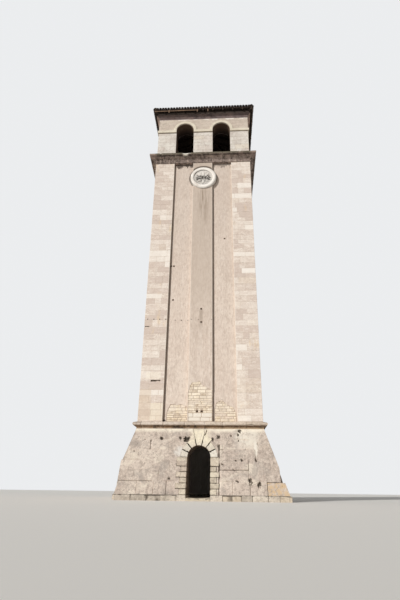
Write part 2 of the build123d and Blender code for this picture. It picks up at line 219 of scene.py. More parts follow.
def stone_finish(name, light, middle, dark, pits=0.3, grime=0.3, streaks=0.0, spread=0.5, grain=0.006,
                 stain=(0.30, 0.25, 0.20), patch_scale=0.9, mottle=0.25, soil_shade_depths=(0.020, 0.045), extra=None):
    """Limestone: three tones in soft clouds, a tone of its own for each block, grain, pits, stains, and dark
    earth with painted shade in what is worn deeper than the two depths given."""
    mix = Finish(name, 0.88, middle)
    mix.paint(light, mix.cloud(patch_scale, 5, warp=0.6).band(0.40, 0.66))
    mix.paint(dark, mix.cloud(patch_scale * 2.3, 6, (7, 3, 1), warp=1.0).band(0.50, 0.76, 0, 0.8))
    if spread:
        mix.paint(light, mix.lot(0).band(0.55, 1.0, 0, spread))
        mix.paint(dark, mix.lot(0).band(0.45, 0.0, 0, spread))
        mix.paint((0.78, 0.64, 0.46), mix.lot(1).band(0.84, 1.0, 0, spread * 0.8))
        mix.paint((0.68, 0.53, 0.46), mix.lot(1).band(0.25, 0.0, 0, spread * 0.6))
    fine = mix.cloud(7, 7, (4, 8, 2), 0.72, 0.8)
    mix.paint(dark, fine.band(0.50, 0.62, 0, mottle))
    mix.paint(light, fine.band(0.48, 0.38, 0, mottle))
    speck = mix.cloud(38, 4, rough=0.7)
    mix.paint(dark, speck.band(0.55, 0.80, 0, 0.45))
    holes = mix.cells(16, (3, 1, 2)).band(0.16, 0.02) * mix.cloud(2.1, 3, (1, 8, 4)).band(0.52, 0.66)
    mix.paint(stain, holes * pits)
    mix.paint(stain, mix.cloud(3.0, 5, (2, 2, 9), 0.6, stretch=(1, 1, 0.06)).band(0.52, 0.78, 0, streaks))
    mix.paint(stain, mix.cloud(1.4, 6, (9, 9, 2), 0.65, 1.5).band(0.54, 0.74, 0, grime))
    if extra:
        extra(mix)
    # Dark earth and painted shade: the colour darkens wherever the mesh is worn deeper than the given
    # depths, as if shaded in the hollow.
    soil_and_shade_seen = mix.mark("worn").band(*soil_shade_depths, 0, 0.85) * mix.mark("fresh").band(0, 0.5, 1, 0)
    mix.paint((0.075, 0.058, 0.042), soil_and_shade_seen)
    mix.relief(mix.cloud(9, 6, rough=0.6), grain * 2.5, 0.7)
    mix.relief(speck, grain, 0.6)
    mix.relief(holes.band(0, 1, 1, 0), 0.02, 0.9)
    return mix.done()


def add_object(name, mesh, slot, *nodes):
    """A new piece of the tower that rides on it and stands for the nodes named."""
    piece = bpy.data.objects.new(name, mesh)
    scene.collection.objects.link(piece)
    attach(piece, "root")
    if nodes:
        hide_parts(*nodes)


lots_known = {"core": (0.5, 0.5, 0.5)}


def lot_numbers(key):
    """Three numbers between 0 and 1 that belong to one block."""
    if key not in lots_known:
        own = random.Random(str(key))
        lots_known[key] = (own.random(), own.random(), own.random())
    return lots_known[key]


def mark_faces(mesh, keys):
    """Writes the numbers of its block on every face."""
    marks = mesh.attributes.get("lot") or mesh.attributes.new("lot", "FLOAT_VECTOR", "FACE")
    for mark, key in zip(marks.data, keys):
        mark.vector = lot_numbers(key)


def loose_parts(mesh):
    """The number of the loose stone that each face belongs to, counted by where the stones lie."""
    owner = list(range(len(mesh.vertices)))

    def root(i):
        while owner[i] != i:
            owner[i] = owner[owner[i]]
            i = owner[i]
        return i
    for edge in mesh.edges:
        a, b = (root(i) for i in edge.vertices)
        owner[a] = b
    stones = [root(face.vertices[0]) for face in mesh.polygons]
    places = {}
    for stone, face in zip(stones, mesh.polygons):
        place = tuple(round(at, 2) for at in face.center)
        places[stone] = min(place, places.get(stone, place))
    order = sorted(places, key=places.get)
    return [order.index(stone) for stone in stones]


def solid_of(node):
    """A plain copy of a solid with its flat faces whole."""
    bm = bmesh.new()
    bm.from_mesh(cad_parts[node].data)
    bmesh.ops.remove_doubles(bm, verts=bm.verts, dist=0.0004)
    bmesh.ops.dissolve_limit(bm, angle_limit=math.radians(0.4), verts=bm.verts, edges=bm.edges)
    return bm


def mesh_from(bm, name, material):
    """The finished mesh of a reworked solid."""
    bmesh.ops.triangulate(bm, faces=[f for f in bm.faces if len(f.verts) > 4])
    mesh = bpy.data.meshes.new(name)
    bm.to_mesh(mesh)
    bm.free()
    mesh.materials.append(material)
    return mesh


def rounded_copy(node, edge, wear, material, angle=25, segments=2, cuts=(), broken=None, lot_of=None,
                 built_in=None):
    """A copy of plain solids with worn round edges and slightly uneven faces.

    cuts are planes that divide the faces finely, broken gives a further depth for a place, and built_in is
    true where a stone touches its neighbour."""
    name = node + "_worn"
    bm = solid_of(node)
    depth_mark = bm.verts.layers.float.new("worn")
    sharp = [e for e in bm.edges if len(e.link_faces) == 2 and e.calc_face_angle(0) > math.radians(angle)]
    bmesh.ops.bevel(bm, geom=sharp, offset=edge, segments=segments, affect="EDGES", clamp_overlap=True)
    for point, normal in cuts:
        everything = bm.verts[:] + bm.edges[:] + bm.faces[:]
        bmesh.ops.bisect_plane(bm, geom=everything, plane_co=point, plane_no=normal, dist=0.00005)
    bm.normal_update()
    for vert in bm.verts:
        depth = wear * (0.5 + noise.noise(vert.co * 3.1)) + (broken(vert.co) if broken else 0)
        if built_in and built_in(vert.co, vert.normal):
            depth = 0
        vert.co -= vert.normal * depth
        vert[depth_mark] = depth
    mesh = mesh_from(bm, name, material)
    if lot_of:
        mark_faces(mesh, [lot_of(face.center, face.normal) for face in mesh.polygons])
    else:
        mark_faces(mesh, [(name, part) for part in loose_parts(mesh)])
    return mesh


def worn_copy(node, facing, cuts, wear, material, lot_of=None):
    """A copy of a plain solid, cut into a net on the faces that weather, every corner of the net worn in.

    facing picks faces by their normal and centre, cuts are planes (point, normal), and wear gives a depth
    for a place."""
    bm = solid_of(node)
    tag = bm.faces.layers.int.new("weathered")
    depth_mark = bm.verts.layers.float.new("worn")
    for face in bm.faces:
        face[tag] = 1 if facing(face.normal, face.calc_center_median()) else 0
    faces = [f for f in bm.faces if f[tag]]
    geometry = faces + list({e for f in faces for e in f.edges}) + list({v for f in faces for v in f.verts})
    for point, normal in cuts:
        divided = bmesh.ops.bisect_plane(bm, geom=geometry, plane_co=point, plane_no=normal, dist=0.00005)
        geometry = divided["geom"]
    moves = {}
    for face in bm.faces:
        if face[tag]:
            for vert in face.verts:
                normals = moves.setdefault(vert, [])
                if all(face.normal.dot(n) < 0.999 for n in normals):
                    normals.append(face.normal.copy())
    for vert, normals in moves.items():
        place = vert.co.copy()
        for normal in normals:
            depth = wear(place, normal)
            vert.co -= normal * depth
            vert[depth_mark] = max(vert[depth_mark], depth)
    name = node + "_worn"
    mesh = mesh_from(bm, name, material)
    mark_faces(mesh, [lot_of(face.center, face.normal) if lot_of else name for face in mesh.polygons])
    return mesh


def squared_stone(low, high, edge, rng, uneven):
    """Corners and faces of one squared stone with worn arrises."""
    corners, at = [], {}
    for ends in itertools.product((0, 1), repeat=3):
        inward = [1 - 2 * end for end in ends]
        for flat in range(3):
            place = [(low, high)[end][i] + (0 if i == flat else edge * inward[i] * rng.uniform(0.6, 1.9))
                     for i, end in enumerate(ends)]
            place[flat] += inward[flat] * rng.uniform(0, uneven)
            at[ends, flat] = len(corners)
            corners.append(place)

    def corner(flat, end, ends, side):
        """The corner on one side, at one end of the way called flat and at the ends of the other two."""
        return at[(*ends[:flat], end, *ends[flat:]), side]
    faces = []
    for flat in range(3):
        a, b = [i for i in range(3) if i != flat]
        for end in (0, 1):
            faces.append([corner(flat, end, ends, flat) for ends in ((0, 0), (1, 0), (1, 1), (0, 1))])
        for ends in itertools.product((0, 1), repeat=2):
            faces.append([corner(flat, end, ends, side) for end, side in ((0, a), (0, b), (1, b), (1, a))])
    faces += [[at[ends, flat] for flat in range(3)] for ends in itertools.product((0, 1), repeat=3)]
    return corners, faces


def joined_mesh(name, parts, materials, core=None):
    """One mesh of loose parts, given as (corners, faces, key of their lot), round a plain core of mortar."""
    verts, faces, keys = [], [], []
    for corners, rings, key in parts:
        faces += [[len(verts) + i for i in ring] for ring in rings]
        verts += corners
        keys += [key] * len(rings)
    mesh = bpy.data.meshes.new(name)
    mesh.from_pydata(verts, [], faces)
    bm = bmesh.new()
    bm.from_mesh(mesh)
    bmesh.ops.recalc_face_normals(bm, faces=bm.faces)
    if core:
        bm.from_mesh(core)
    bm.to_mesh(mesh)
    bm.free()
    for material in materials:
        mesh.materials.append(material)
    for face in mesh.polygons:
        face.material_index = 1 if face.index >= len(keys) else 0
    mark_faces(mesh, keys + ["core"] * (len(mesh.polygons) - len(keys)))
    return mesh


def turned(quarters):
    return Matrix.Rotation(quarters * math.pi / 2, 3, "Z")


def lay_stones(name, stones, edge, uneven, seed, materials, core=None):
    """One mesh of many squared stones, given as (low corner, high corner, quarter turns)."""
    rng = random.Random(seed)
    parts = []
    for number, (low, high, turns) in enumerate(stones):
        corners, rings = squared_stone(low, high, edge, rng, uneven)
        parts.append(([turned(turns) @ Vector(corner) for corner in corners], rings, (name, number)))
    return joined_mesh(name, parts, materials, core)


side_normals = {"front": Vector((0, -1, 0)), "right": Vector((1, 0, 0)), "back": Vector((0, 1, 0)),
                "left": Vector((-1, 0, 0))}


def side_of(way):
    """The side of the tower that a normal or a place belongs to."""
    return max(side_normals, key=lambda side: side_normals[side].dot(way))


def along_side(place, side):
    """Distance to the right of the middle of a side, seen from outside."""
    return {"front": place.x, "right": place.y, "back": -place.x, "left": -place.y}[side]


def outward(normal, centre):
    """True for a face that looks away from the tower's axis."""
    out = Vector((centre.x, centre.y, 0)).normalized()
    return normal.dot(out) > 0.05 and max(abs(centre.x), abs(centre.y)) > 3.0


def bumps(place, scale, shift=(0, 0, 0)):
    """Soft chance numbers between -1 and 1."""
    return noise.noise(place * scale + Vector(shift))


def clamp(value):
    return min(1, max(0, value))


def groove(distance, half_width):
    return max(0.0, 1.0 - abs(distance) / half_width)


def evenly(low, high, step):
    return [low + step * i for i in range(int((high - low) / step) + 1)]


def beside(places, off):
    """Every place, with one before and one after it."""
    return [at + side * off for at in places for side in (-1, 0, 1)]


def net(places, levels, axis):
    """Cutting planes across and along a wall."""
    way = Vector((1, 0, 0)) if axis == "x" else Vector((0, 1, 0))
    return ([(way * at, way) for at in sorted({round(at, 4) for at in places})] +
            [((0, 0, at), (0, 0, 1)) for at in sorted({round(at, 4) for at in levels})])


def joint_row(rng, at, last, least, most):
    """Joints along a course of stones."""
    row = []
    while at < last:
        row.append(at)
        at += rng.uniform(least, most)
    return row


def weathered(node, slot, material, cuts, wear, lot_of=None, facing=outward, ending="_stones"):
    """Puts a worn copy in the place of a solid."""
    mesh = worn_copy(node, facing, cuts, wear, material, lot_of)
    add_object(node + ending, mesh, slot, node)
    return mesh


def weathered_ring(stem, slot, material, places, levels, wear, lot_of=None, facing=outward,
                   ending="_stones"):
    """The same for a course round the tower: its lengths in front and behind, then those at the sides."""
    return [weathered(stem + way, slot, material, net(places, levels, axis), wear, lot_of, facing, ending)
            for way, axis in (("_front_back", "x"), ("_sides", "y"))]


footing_top = 0.26
footing_rng = random.Random(5)
footing_joints = {"front": [-3.12, -2.38, -1.73, -0.99, 1.14, 2.0, 2.5, 3.22, 3.74]}
for side in ("right", "back", "left"):
    footing_joints[side] = joint_row(footing_rng, -4.29 + footing_rng.uniform(0.4, 0.8), 4.1, 0.5, 1.1)
footing_places = evenly(-4.3, 4.3, 0.06)
for row in footing_joints.values():
    footing_places += beside(row + [-at for at in row], 0.02)


def footing_lot(centre, normal):
    side = side_of(centre)
    return ("footing", side, sum(at < along_side(centre, side) for at in footing_joints[side]))


def footing_wear(place, normal):
    side = side_of(place)
    joint = min(abs(along_side(place, side) - at) for at in footing_joints[side])
    block = lot_numbers(footing_lot(place, normal))
    depth = 0.004 + 0.020 * block[2] + 0.012 * abs(bumps(place, 6))
    depth = max(depth + 0.02 * max(0, bumps(place, 3, (0, 0, 8))), 0.045 * groove(joint, 0.022))
    if place.z > footing_top - 0.04:
        depth += 0.012 + 0.02 * abs(bumps(place, 4, (3, 3, 3)))
    return depth if abs(normal.z) < 0.5 else min(depth, 0.03)


footing_stone = stone_finish("footing_stone", (0.70, 0.62, 0.52), (0.53, 0.46, 0.38), (0.26, 0.22, 0.18),
                             pits=0.6, grime=0.6, stain=(0.13, 0.115, 0.08), mottle=0.5, soil_shade_depths=(0.026, 0.042))
for node, axis in (("plinth_front", "x"), ("plinth_sides", "y"), ("plinth_back", "x")):
    weathered(node, "dark_footing_stone", footing_stone,
              net(footing_places, [0.06, 0.12, 0.18, 0.225, 0.245], axis), footing_wear, footing_lot,
              lambda n, c: max(n.z, abs(n.x), abs(n.y)) > 0.9 and max(abs(c.x), abs(c.y)) > 2.2)


# Battered base: large limestone blocks in courses, laid tight and worn into one surface, with pits,
# open holes and a few open joints. The front left corner is a later repair that stands steeper.
base_low, base_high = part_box("base_back")
base_foot, base_top = base_low.z, base_high.z
base_courses = [0.26, 0.845, 1.35, 1.81, 2.295, 2.80, 3.31]
joint_rng = random.Random(11)
base_joints = {}
for side in side_normals:
    base_joints[side] = []
    for course in base_courses[1:]:
        at, row = -4.3 + joint_rng.uniform(0.2, 0.9), []
        while at < 4.3:
            row.append((at, joint_rng.uniform(0.002, 0.010)))
            at += joint_rng.uniform(0.75, 1.5)
        base_joints[side].append(row)
base_joints["front"] = [[(-2.9, 0.008), (-2.1, 0.012), (-1.5, 0.02), (1.62, 0.008), (2.42, 0.022)],
                        [(-3.1, 0.006), (-1.9, 0.010), (1.9, 0.005), (2.39, 0.010), (3.1, 0.005)],
                        [(-2.6, 0.004), (-1.4, 0.006), (1.5, 0.004), (2.39, 0.024), (3.2, 0.004)],
                        [(-3.0, 0.005), (-2.0, 0.004), (1.9, 0.004), (2.75, 0.026)],
                        [(-2.44, 0.022), (-1.5, 0.004), (1.5, 0.004), (2.3, 0.005)],
                        [(-2.2, 0.004), (2.2, 0.004)]]
open_beds = [(1.35, 0.95, 2.40, 0.022), (2.295, 0.97, 1.20, 0.02), (0.845, -4.0, -2.2, 0.018)]
base_holes = {}
for side in ("right", "back", "left"):
    base_holes[side] = []
    for _ in range(26):
        x, z = joint_rng.uniform(-3.2, 3.2), joint_rng.uniform(0.5, 3.15)
        base_holes[side].append((x, z, joint_rng.uniform(0.03, 0.10), joint_rng.uniform(0.04, 0.10)))
base_holes["front"] = [
    (-1.89, 2.84, 0.07, 0.10), (-0.95, 2.87, 0.06, 0.08), (-0.62, 2.8, 0.13, 0.14), (-0.72, 2.74, 0.07, 0.1),
    (-2.75, 2.78, 0.045, 0.05), (-2.44, 2.7, 0.035, 0.06), (1.59, 2.98, 0.05, 0.06), (0.96, 2.9, 0.07, 0.09),
    (0.69, 2.80, 0.06, 0.08), (2.03, 3.21, 0.11, 0.10), (1.94, 3.03, 0.055, 0.08), (1.96, 2.74, 0.05, 0.06),
    (0.96, 2.46, 0.05, 0.06), (2.09, 1.81, 0.06, 0.07), (1.80, 1.79, 0.05, 0.06), (1.70, 1.35, 0.06, 0.07),
    (1.84, 0.87, 0.06, 0.07), (2.47, 0.88, 0.10, 0.10), (2.88, 0.74, 0.10, 0.09), (2.76, 1.80, 0.06, 0.07),
    (-1.35, 0.95, 0.07, 0.06), (-3.2, 2.2, 0.04, 0.05), (1.15, 1.62, 0.05, 0.06), (2.9, 2.6, 0.035, 0.04)]
door_joint = 0.985
crown_crack = ((0.225, 2.96), (0.305, 3.051), (0.345, 3.16), (0.378, 3.27))


def off_line(x, z, points):
    """Distance from a place on the front to a crooked line."""
    nearest = 9.0
    for (x0, z0), (x1, z1) in zip(points, points[1:]):
        length = (x1 - x0) ** 2 + (z1 - z0) ** 2
        share = clamp(((x - x0) * (x1 - x0) + (z - z0) * (z1 - z0)) / length)
        nearest = min(nearest, math.hypot(x - x0 - share * (x1 - x0), z - z0 - share * (z1 - z0)))
    return nearest


def base_wear(place, normal):
    side = side_of(normal)
    x, z = along_side(place, side), place.z
    depth = 0.006 + 0.012 * abs(bumps(place, 1.3)) + 0.010 * abs(bumps(place, 5.0, (4, 1, 7)))
    depth += 0.035 * max(0, bumps(place, 2.2, (9, 2, 3)) - 0.35)
    edge = noise.noise((x * 1.7, z * 1.7, 5)) * 0.016 + noise.noise((x * 9, z * 9, 2)) * 0.006
    for low, high, row in zip(base_courses, base_courses[1:], base_joints[side]):
        if low <= z + edge < high:
            for at, strong in row:
                depth = max(depth, (0.014 + 2.4 * strong) * groove(x + edge - at, 0.024))
    for level in base_courses[1:6]:
        broken = 0.5 + noise.noise((x * 1.1, level * 7, 3))
        depth = max(depth, 0.040 * max(0, broken) * groove(z + edge - level, 0.024))
    if side == "front":
        for level, x0, x1, strong in open_beds:
            if x0 < x < x1:
                depth = max(depth, (0.03 + 1.6 * strong) * groove(z + edge * 0.7 - level, 0.030))
        if 0.25 < z < 2.55:
            ragged = clamp(0.8 + 1.4 * noise.noise((x * 2, z * 3.1, 6)))
            depth = max(depth, 0.10 * ragged * groove(x + 2 * edge - door_joint, 0.065))
    for hole_x, hole_z, radius, deep in base_holes[side]:
        if abs(hole_x - x) < 0.3 and abs(hole_z - z) < 0.3:
            ragged = radius * (1 + 1.1 * noise.noise((x * 13, z * 13, hole_x)))
            away = math.hypot(x - hole_x, (z - hole_z) * (0.8 + 0.8 * ((7.3 * hole_x) % 1)))
            depth = max(depth, 1.3 * deep * clamp(1.7 * (1 - away / (1.25 * ragged))))
    if side == "front" and abs(x) < 0.9 and z > 2.6:
        by_keystone = groove(abs(x) - 0.213 * (z - 1.93), 0.22)
        depth += (0.008 - depth) * min(1, 1.6 * by_keystone)
        depth = max(depth, 0.09 * groove(off_line(x, z, crown_crack), 0.036))
    near_edge = min(abs(z - base_top), abs(z - base_foot))
    return depth * min(1, 0.3 + near_edge / 0.05)


def base_lot(centre, normal):
    side = side_of(normal)
    course = max(c for c in range(6) if base_courses[c] <= centre.z + 0.01)
    return (side, course, sum(at < along_side(centre, side) for at, strong in base_joints[side][course]))


def base_cuts(side, low, high):
    """A net between two places on a side: finest in front, with closer lines along the joints."""
    step = 0.042 if side == "front" else 0.075
    joints = [at for row in base_joints[side] for at, strong in row]
    places = [round(at, 4) for at in evenly(low, high, step) + beside(joints, 0.022)]
    levels = evenly(base_foot, base_top, step)[1:] + beside(base_courses[1:6], 0.018)
    rightward = -1 if side in ("back", "left") else 1
    return net([rightward * at for at in places if low < at < high], [at for at in levels if at < base_top],
               "x" if side in ("front", "back") else "y")


def base_facing(normal, centre):
    """The battered faces, and the upright left face of the repaired corner."""
    return (abs(normal.y) > 0.9 or abs(centre.x) > 2.9) and (
        0.1 < normal.z < 0.5 or (normal.z > -0.1 and normal.x < -0.9 and centre.x < -3.7))


def lining(mix):
    """Pale paint in the chamber as painted light, brown on the sides of the doorway, and painted shade
    darkening further in.
    """
    # Painted light: the chamber's walls are painted pale so that they do not go black.
    mix.paint((0.84, 0.79, 0.74), mix.off_axis("MAXIMUM").band(2.02, 1.98))
    inward = (mix.y + 4.301) + mix.z * -0.3115
    passage = abs(mix.x).band(0.61, 0.57) * mix.z.band(2.55, 2.50) * mix.y.band(-1.9, -2.0)
    # Brown on the sides of the doorway, then painted shade that darkens the passage further in.
    mix.paint((0.30, 0.20, 0.12), passage * inward.band(0.02, 0.10, 0, 0.85))
    mix.paint((0.21, 0.17, 0.14), passage * inward.band(0.30, 0.60, 0, 0.9))


def old_skin(mix):
    """Pale washed patches, grey weather skin low down, and a fine net of dark cracks in places."""
    mix.paint((0.80, 0.71, 0.59), mix.cloud(1.15, 6, (3, 5, 8), 0.7, 0.9).band(0.52, 0.66, 0, 0.75))
    mix.paint((0.36, 0.315, 0.28), mix.cloud(0.8, 5, (8, 1, 4), 0.65, 1.2).band(0.50, 0.66, 0, 0.55))
    cracks = mix.cracks(2.6, (5, 3, 1)).band(0.014, 0.0)
    mix.paint((0.11, 0.09, 0.07), cracks * mix.cloud(1.3, 3, (9, 4, 4)).band(0.52, 0.6, 0, 0.8))
    fine = mix.cloud(15, 7, (1, 6, 3), 0.75, 0.5)
    mix.paint((0.27, 0.22, 0.185), fine.band(0.52, 0.68, 0, 0.6))
    mix.paint((0.82, 0.74, 0.63), fine.band(0.46, 0.33, 0, 0.5))
    runs = mix.cloud(6, 5, (6, 6, 6), 0.65, stretch=(1, 1, 0.22))
    mix.paint((0.30, 0.25, 0.21), runs.band(0.55, 0.70, 0, 0.5))
    on_front = mix.y.band(-2.9, -3.2)
    ragged = mix.cloud(5, 6, (2, 2, 2), 0.65).band(0.40, 0.54, 0.3, 1) * on_front
    for x, z, reach, squeeze, colour in ((0.02, 2.98, 0.95, 1.45, (0.85, 0.76, 0.585)),
                                         (-0.96, 2.2, 0.33, 0.9, (0.73, 0.69, 0.63)),
                                         (2.35, 3.0, 0.8, 1.0, (0.78, 0.715, 0.615)),
                                         (2.78, 2.35, 0.5, 4.5, (0.84, 0.78, 0.68))):
        mix.paint(colour, mix.away(x, z, squeeze).band(reach, reach * 0.45) * (ragged * 0.85))
    washed = mix.z.band(base_top - 0.24, base_top - 0.03, 0, 0.92)
    mix.paint((0.90, 0.82, 0.68), washed * mix.cloud(2.1, 5, (6, 2, 2), 0.6).band(0.30, 0.50, 0.3, 1))
    yellow = mix.x.band(3.19, 3.21) * mix.z.band(0.84, 0.80) * on_front
    mix.paint((0.64, 0.47, 0.29), yellow * mix.cloud(6, 6, (3, 9, 9), 0.7).band(0.44, 0.54, 0.1, 0.85))
    spots = mix.cells(7, (2, 9, 5)).band(0.17, 0.07) * mix.cloud(2.6, 3, (4, 4, 9)).band(0.55, 0.62)
    mix.paint((0.10, 0.08, 0.065), spots * 0.8)
    lining(mix)


base_stone = stone_finish("base_stone", (0.70, 0.60, 0.51), (0.555, 0.46, 0.39), (0.36, 0.295, 0.25),
                          pits=0.8, streaks=0.25, spread=0.16, mottle=0.8, soil_shade_depths=(0.030, 0.065),
                          extra=old_skin)
for node in ("base_front_left", "base_front_right", "base_front_head", "base_left", "base_right",
             "base_back", "rebuilt_corner"):
    side = node[5:] if node[5:] in side_normals else "front"
    low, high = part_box(node)
    spans = {"front": (low.x, high.x), "back": (-high.x, -low.x),
             "right": (low.y, high.y), "left": (-high.y, -low.y)}
    cuts = base_cuts(side, *spans[side])
    if node == "rebuilt_corner":
        cuts += [cut for cut in base_cuts("left", *spans["left"]) if abs(cut[1][2]) < 0.5]
    if node == "base_front_head":
        cuts += net(evenly(0.20, 0.40, 0.014), evenly(2.94, 3.29, 0.02), "x")
    weathered(node, "base_stone", base_stone, cuts, base_wear, base_lot, base_facing)


# Doorway: dressed blocks up both jambs, long and short by turns, and seven wedge stones over the arch, all
# in open joints. The threshold is one slab, hollowed by feet, and the chamber behind is paved with flags.
door_spring = 1.93
wedge_ends = (-66, -42, -14, 12, 37, 64)
wedge_tones = ((0.6, 0.65), (0.6, 0.5), (0.85, 0.2), (1.0, 0.3), (1.0, 0.25), (0.7, 0.4), (0.8, 0.95))
for number, (tone, paleness) in enumerate(wedge_tones):
    lots_known["wedge", number] = (tone, 0.5, paleness)
seam_reach = 0.95


def door_lot(centre, normal):
    if centre.z > door_spring:
        turn = math.degrees(math.atan2(centre.x, centre.z - door_spring))
        return ("wedge", sum(turn > end for end in wedge_ends))
    return ("jamb", centre.x > 0, int((centre.z - footing_top) / 0.248))


def door_built_in(place, normal):
    """Faces between stones well above the doorway, where the joints are full of mortar."""
    return place.z > 2.75 and abs(normal.y) < 0.3


def door_broken(place):
    """Lumps and knocks, and seams between the wedge stones that stand open near the doorway."""
    lump = 0.012 * abs(bumps(place, 7)) + 0.010 * abs(bumps(place, 15, (3, 5, 1)))
    up = place.z - door_spring
    if up > 0.02:
        turn, away = math.atan2(place.x, up), math.hypot(place.x, up)
        seams = [abs(math.sin(turn - math.radians(end))) * away for end in wedge_ends]
        seam = min(seams)
        if away > seam_reach:
            lump *= min(1, 0.1 + seam / 0.05)
        ragged = 0.75 + 0.9 * bumps(place, 7, (1, 1, 4))
        if seams[2] == seam:
            ragged *= 0.4
        lump += 0.055 * ragged * groove(seam, 0.019) * clamp((seam_reach - away) / 0.15)
        if place.z > 2.45:
            lump += 0.018 * abs(bumps(place, 4.5, (0, 7, 2))) * min(1, seam / 0.05)
    return lump


def fresh_wedges(mix):
    """The wedge stones were cleaned or renewed, some paler than others; fine cracks run through old ones."""
    mix.paint((0.76, 0.71, 0.62), mix.z.band(door_spring - 0.01, door_spring + 0.01) * mix.lot(2))
    lime = mix.cloud(9, 6, rough=0.7).band(0.42, 0.60, 0.95, 0.4)
    mix.paint((0.86, 0.77, 0.59), mix.z.band(2.40, 2.75) * lime)
    cracks = mix.cracks(5, (1, 4, 2)).band(0.03, 0.0, 0, 0.6)
    mix.paint((0.22, 0.17, 0.13), cracks * mix.cloud(1.7, 3).band(0.52, 0.62))
    lining(mix)


door_stone = stone_finish("door_stone", (0.73, 0.65, 0.52), (0.57, 0.485, 0.385), (0.34, 0.28, 0.22),
                          pits=0.7, grime=0.35, spread=0.45, mottle=0.6, soil_shade_depths=(0.035, 0.06),
                          extra=fresh_wedges)
for node, edge in (("door_jamb_left", 0.018), ("door_jamb_right", 0.018), ("door_arch", 0.004)):
    low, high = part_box(node)
    cuts = net(evenly(low.x, high.x, 0.05)[1:], evenly(low.z, high.z, 0.05)[1:], "x")
    mesh = rounded_copy(node, edge, 0.012, door_stone, cuts=cuts, broken=door_broken, lot_of=door_lot,
                        built_in=door_built_in)
    add_object(node + "_stones", mesh, "door_stone", node)


def threshold_wear(place, normal):
    depth = 0.003 + 0.012 * abs(bumps(place, 5))
    if normal.z > 0.5:
        hollow = 0.03 * max(0, 1 - (place.x / 0.5) ** 2)
        depth += hollow + 0.05 * groove(place.y + 4.29, 0.15) * (1 + bumps(place, 3))
    return depth


paving = stone_finish("paving", (0.58, 0.53, 0.44), (0.44, 0.40, 0.33), (0.28, 0.25, 0.20), grime=0.6)
weathered("threshold", "dark_footing_stone", paving,
          net(evenly(-0.56, 0.57, 0.07), [0.04, 0.08, 0.12], "x") + net(evenly(-4.29, -1.9, 0.06), [], "y"),
          threshold_wear, facing=lambda n, c: n.z > 0.9 or n.y < -0.9, ending="_slab")
flags = []
low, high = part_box("ground_floor")
flag_rng = random.Random(8)
row_at = low.y
while row_at < high.y - 0.05:
    row_end = min(high.y, row_at + flag_rng.uniform(0.45, 0.65))
    flag_at = low.x
    while flag_at < high.x - 0.05:
        flag_end = min(high.x, flag_at + flag_rng.uniform(0.5, 0.9))
        flags.append(((flag_at + 0.004, row_at + 0.004, 0), (flag_end - 0.004, row_end - 0.004, high.z), 0))
        flag_at = flag_end
    row_at = row_end
mesh = lay_stones("floor_flags", flags, 0.008, 0.006, 8, [paving])
add_object("floor_flags", mesh, "dark_footing_stone", "ground_floor")


# Moulding between base and shaft: long stones cut with a roll above a hollow. The roll is washed pale by
# rain, and the sheltered hollow has kept its brown crust.
def along_wall(place):
    """Distance along a wall, the same way on opposite sides."""
    return place.x if abs(place.y) > abs(place.x) else place.y


def ring_joints(seed, first, last, least, most):
    rng = random.Random(seed)
    return joint_row(rng, first + rng.uniform(0.3, least), last, least, most)


def moulded_wear(row, chips, depth_of_chip):
    """Wear for a run of moulded stones: soft noise, joints, and broken bits along the outer edges."""
    def wear(place, normal):
        x = along_wall(place)
        joint = min(abs(x - at) for at in row)
        broken = noise.noise((x * 2.3, place.z * 5, place.x + place.y)) - (1 - chips)
        depth = 0.003 + 0.008 * abs(bumps(place, 4)) + 0.022 * groove(joint, 0.016)
        return depth + depth_of_chip * clamp(broken * 4)
    return wear


def moulded_lot(name, row):
    def lot(centre, normal):
        return (name, side_of(centre), sum(at < along_wall(centre) for at in row))
    return lot


def under_crust(mix):
    """Brown crust in the hollow, palest at its foot, with black and rusty patches."""
    up = mix.z - base_top
    crust = up.band(0.19, 0.135) * up.band(0.005, 0.05, 0.35, 1)
    mix.paint((0.215, 0.13, 0.072), crust * mix.cloud(5, 5, (2, 6, 1)).band(0.25, 0.6, 0.7, 1))
    mix.paint((0.45, 0.325, 0.21), up.band(0.12, 0.06) * mix.x.band(0.2, 0.9, 0.2, 1) * 0.8)
    black = crust * mix.cloud(2.6, 6, (7, 7, 1), 0.65, stretch=(1, 1, 0.6)).band(0.48, 0.58)
    mix.paint((0.06, 0.045, 0.035), black * mix.x.band(0.9, 0.2, 0.3, 0.85))


moulding_joints = ring_joints(21, -3.4, 3.3, 0.8, 1.3)
moulding_stone = stone_finish("moulding_stone", (0.77, 0.67, 0.58), (0.66, 0.555, 0.465),
                              (0.42, 0.34, 0.275), pits=0.4, grime=0.35, spread=0.3, mottle=0.45,
                              extra=under_crust)
weathered_ring("base_moulding", "moulding_stone", moulding_stone,
               evenly(-3.46, 3.46, 0.07) + beside(moulding_joints, 0.015), [],
               moulded_wear(moulding_joints, 0.42, 0.03), moulded_lot("moulding", moulding_joints))


# Corner pilasters of the shaft: squared blocks of cream and pinkish limestone in courses, bonded round the
# corner, in thin mortar. Below the middle of the front left one the face has spalled off above a ledge.
def course_levels(rng, low, high, least, most):
    levels = [low]
    while levels[-1] < high - most:
        levels.append(levels[-1] + rng.uniform(least, most))
    return levels + [high]


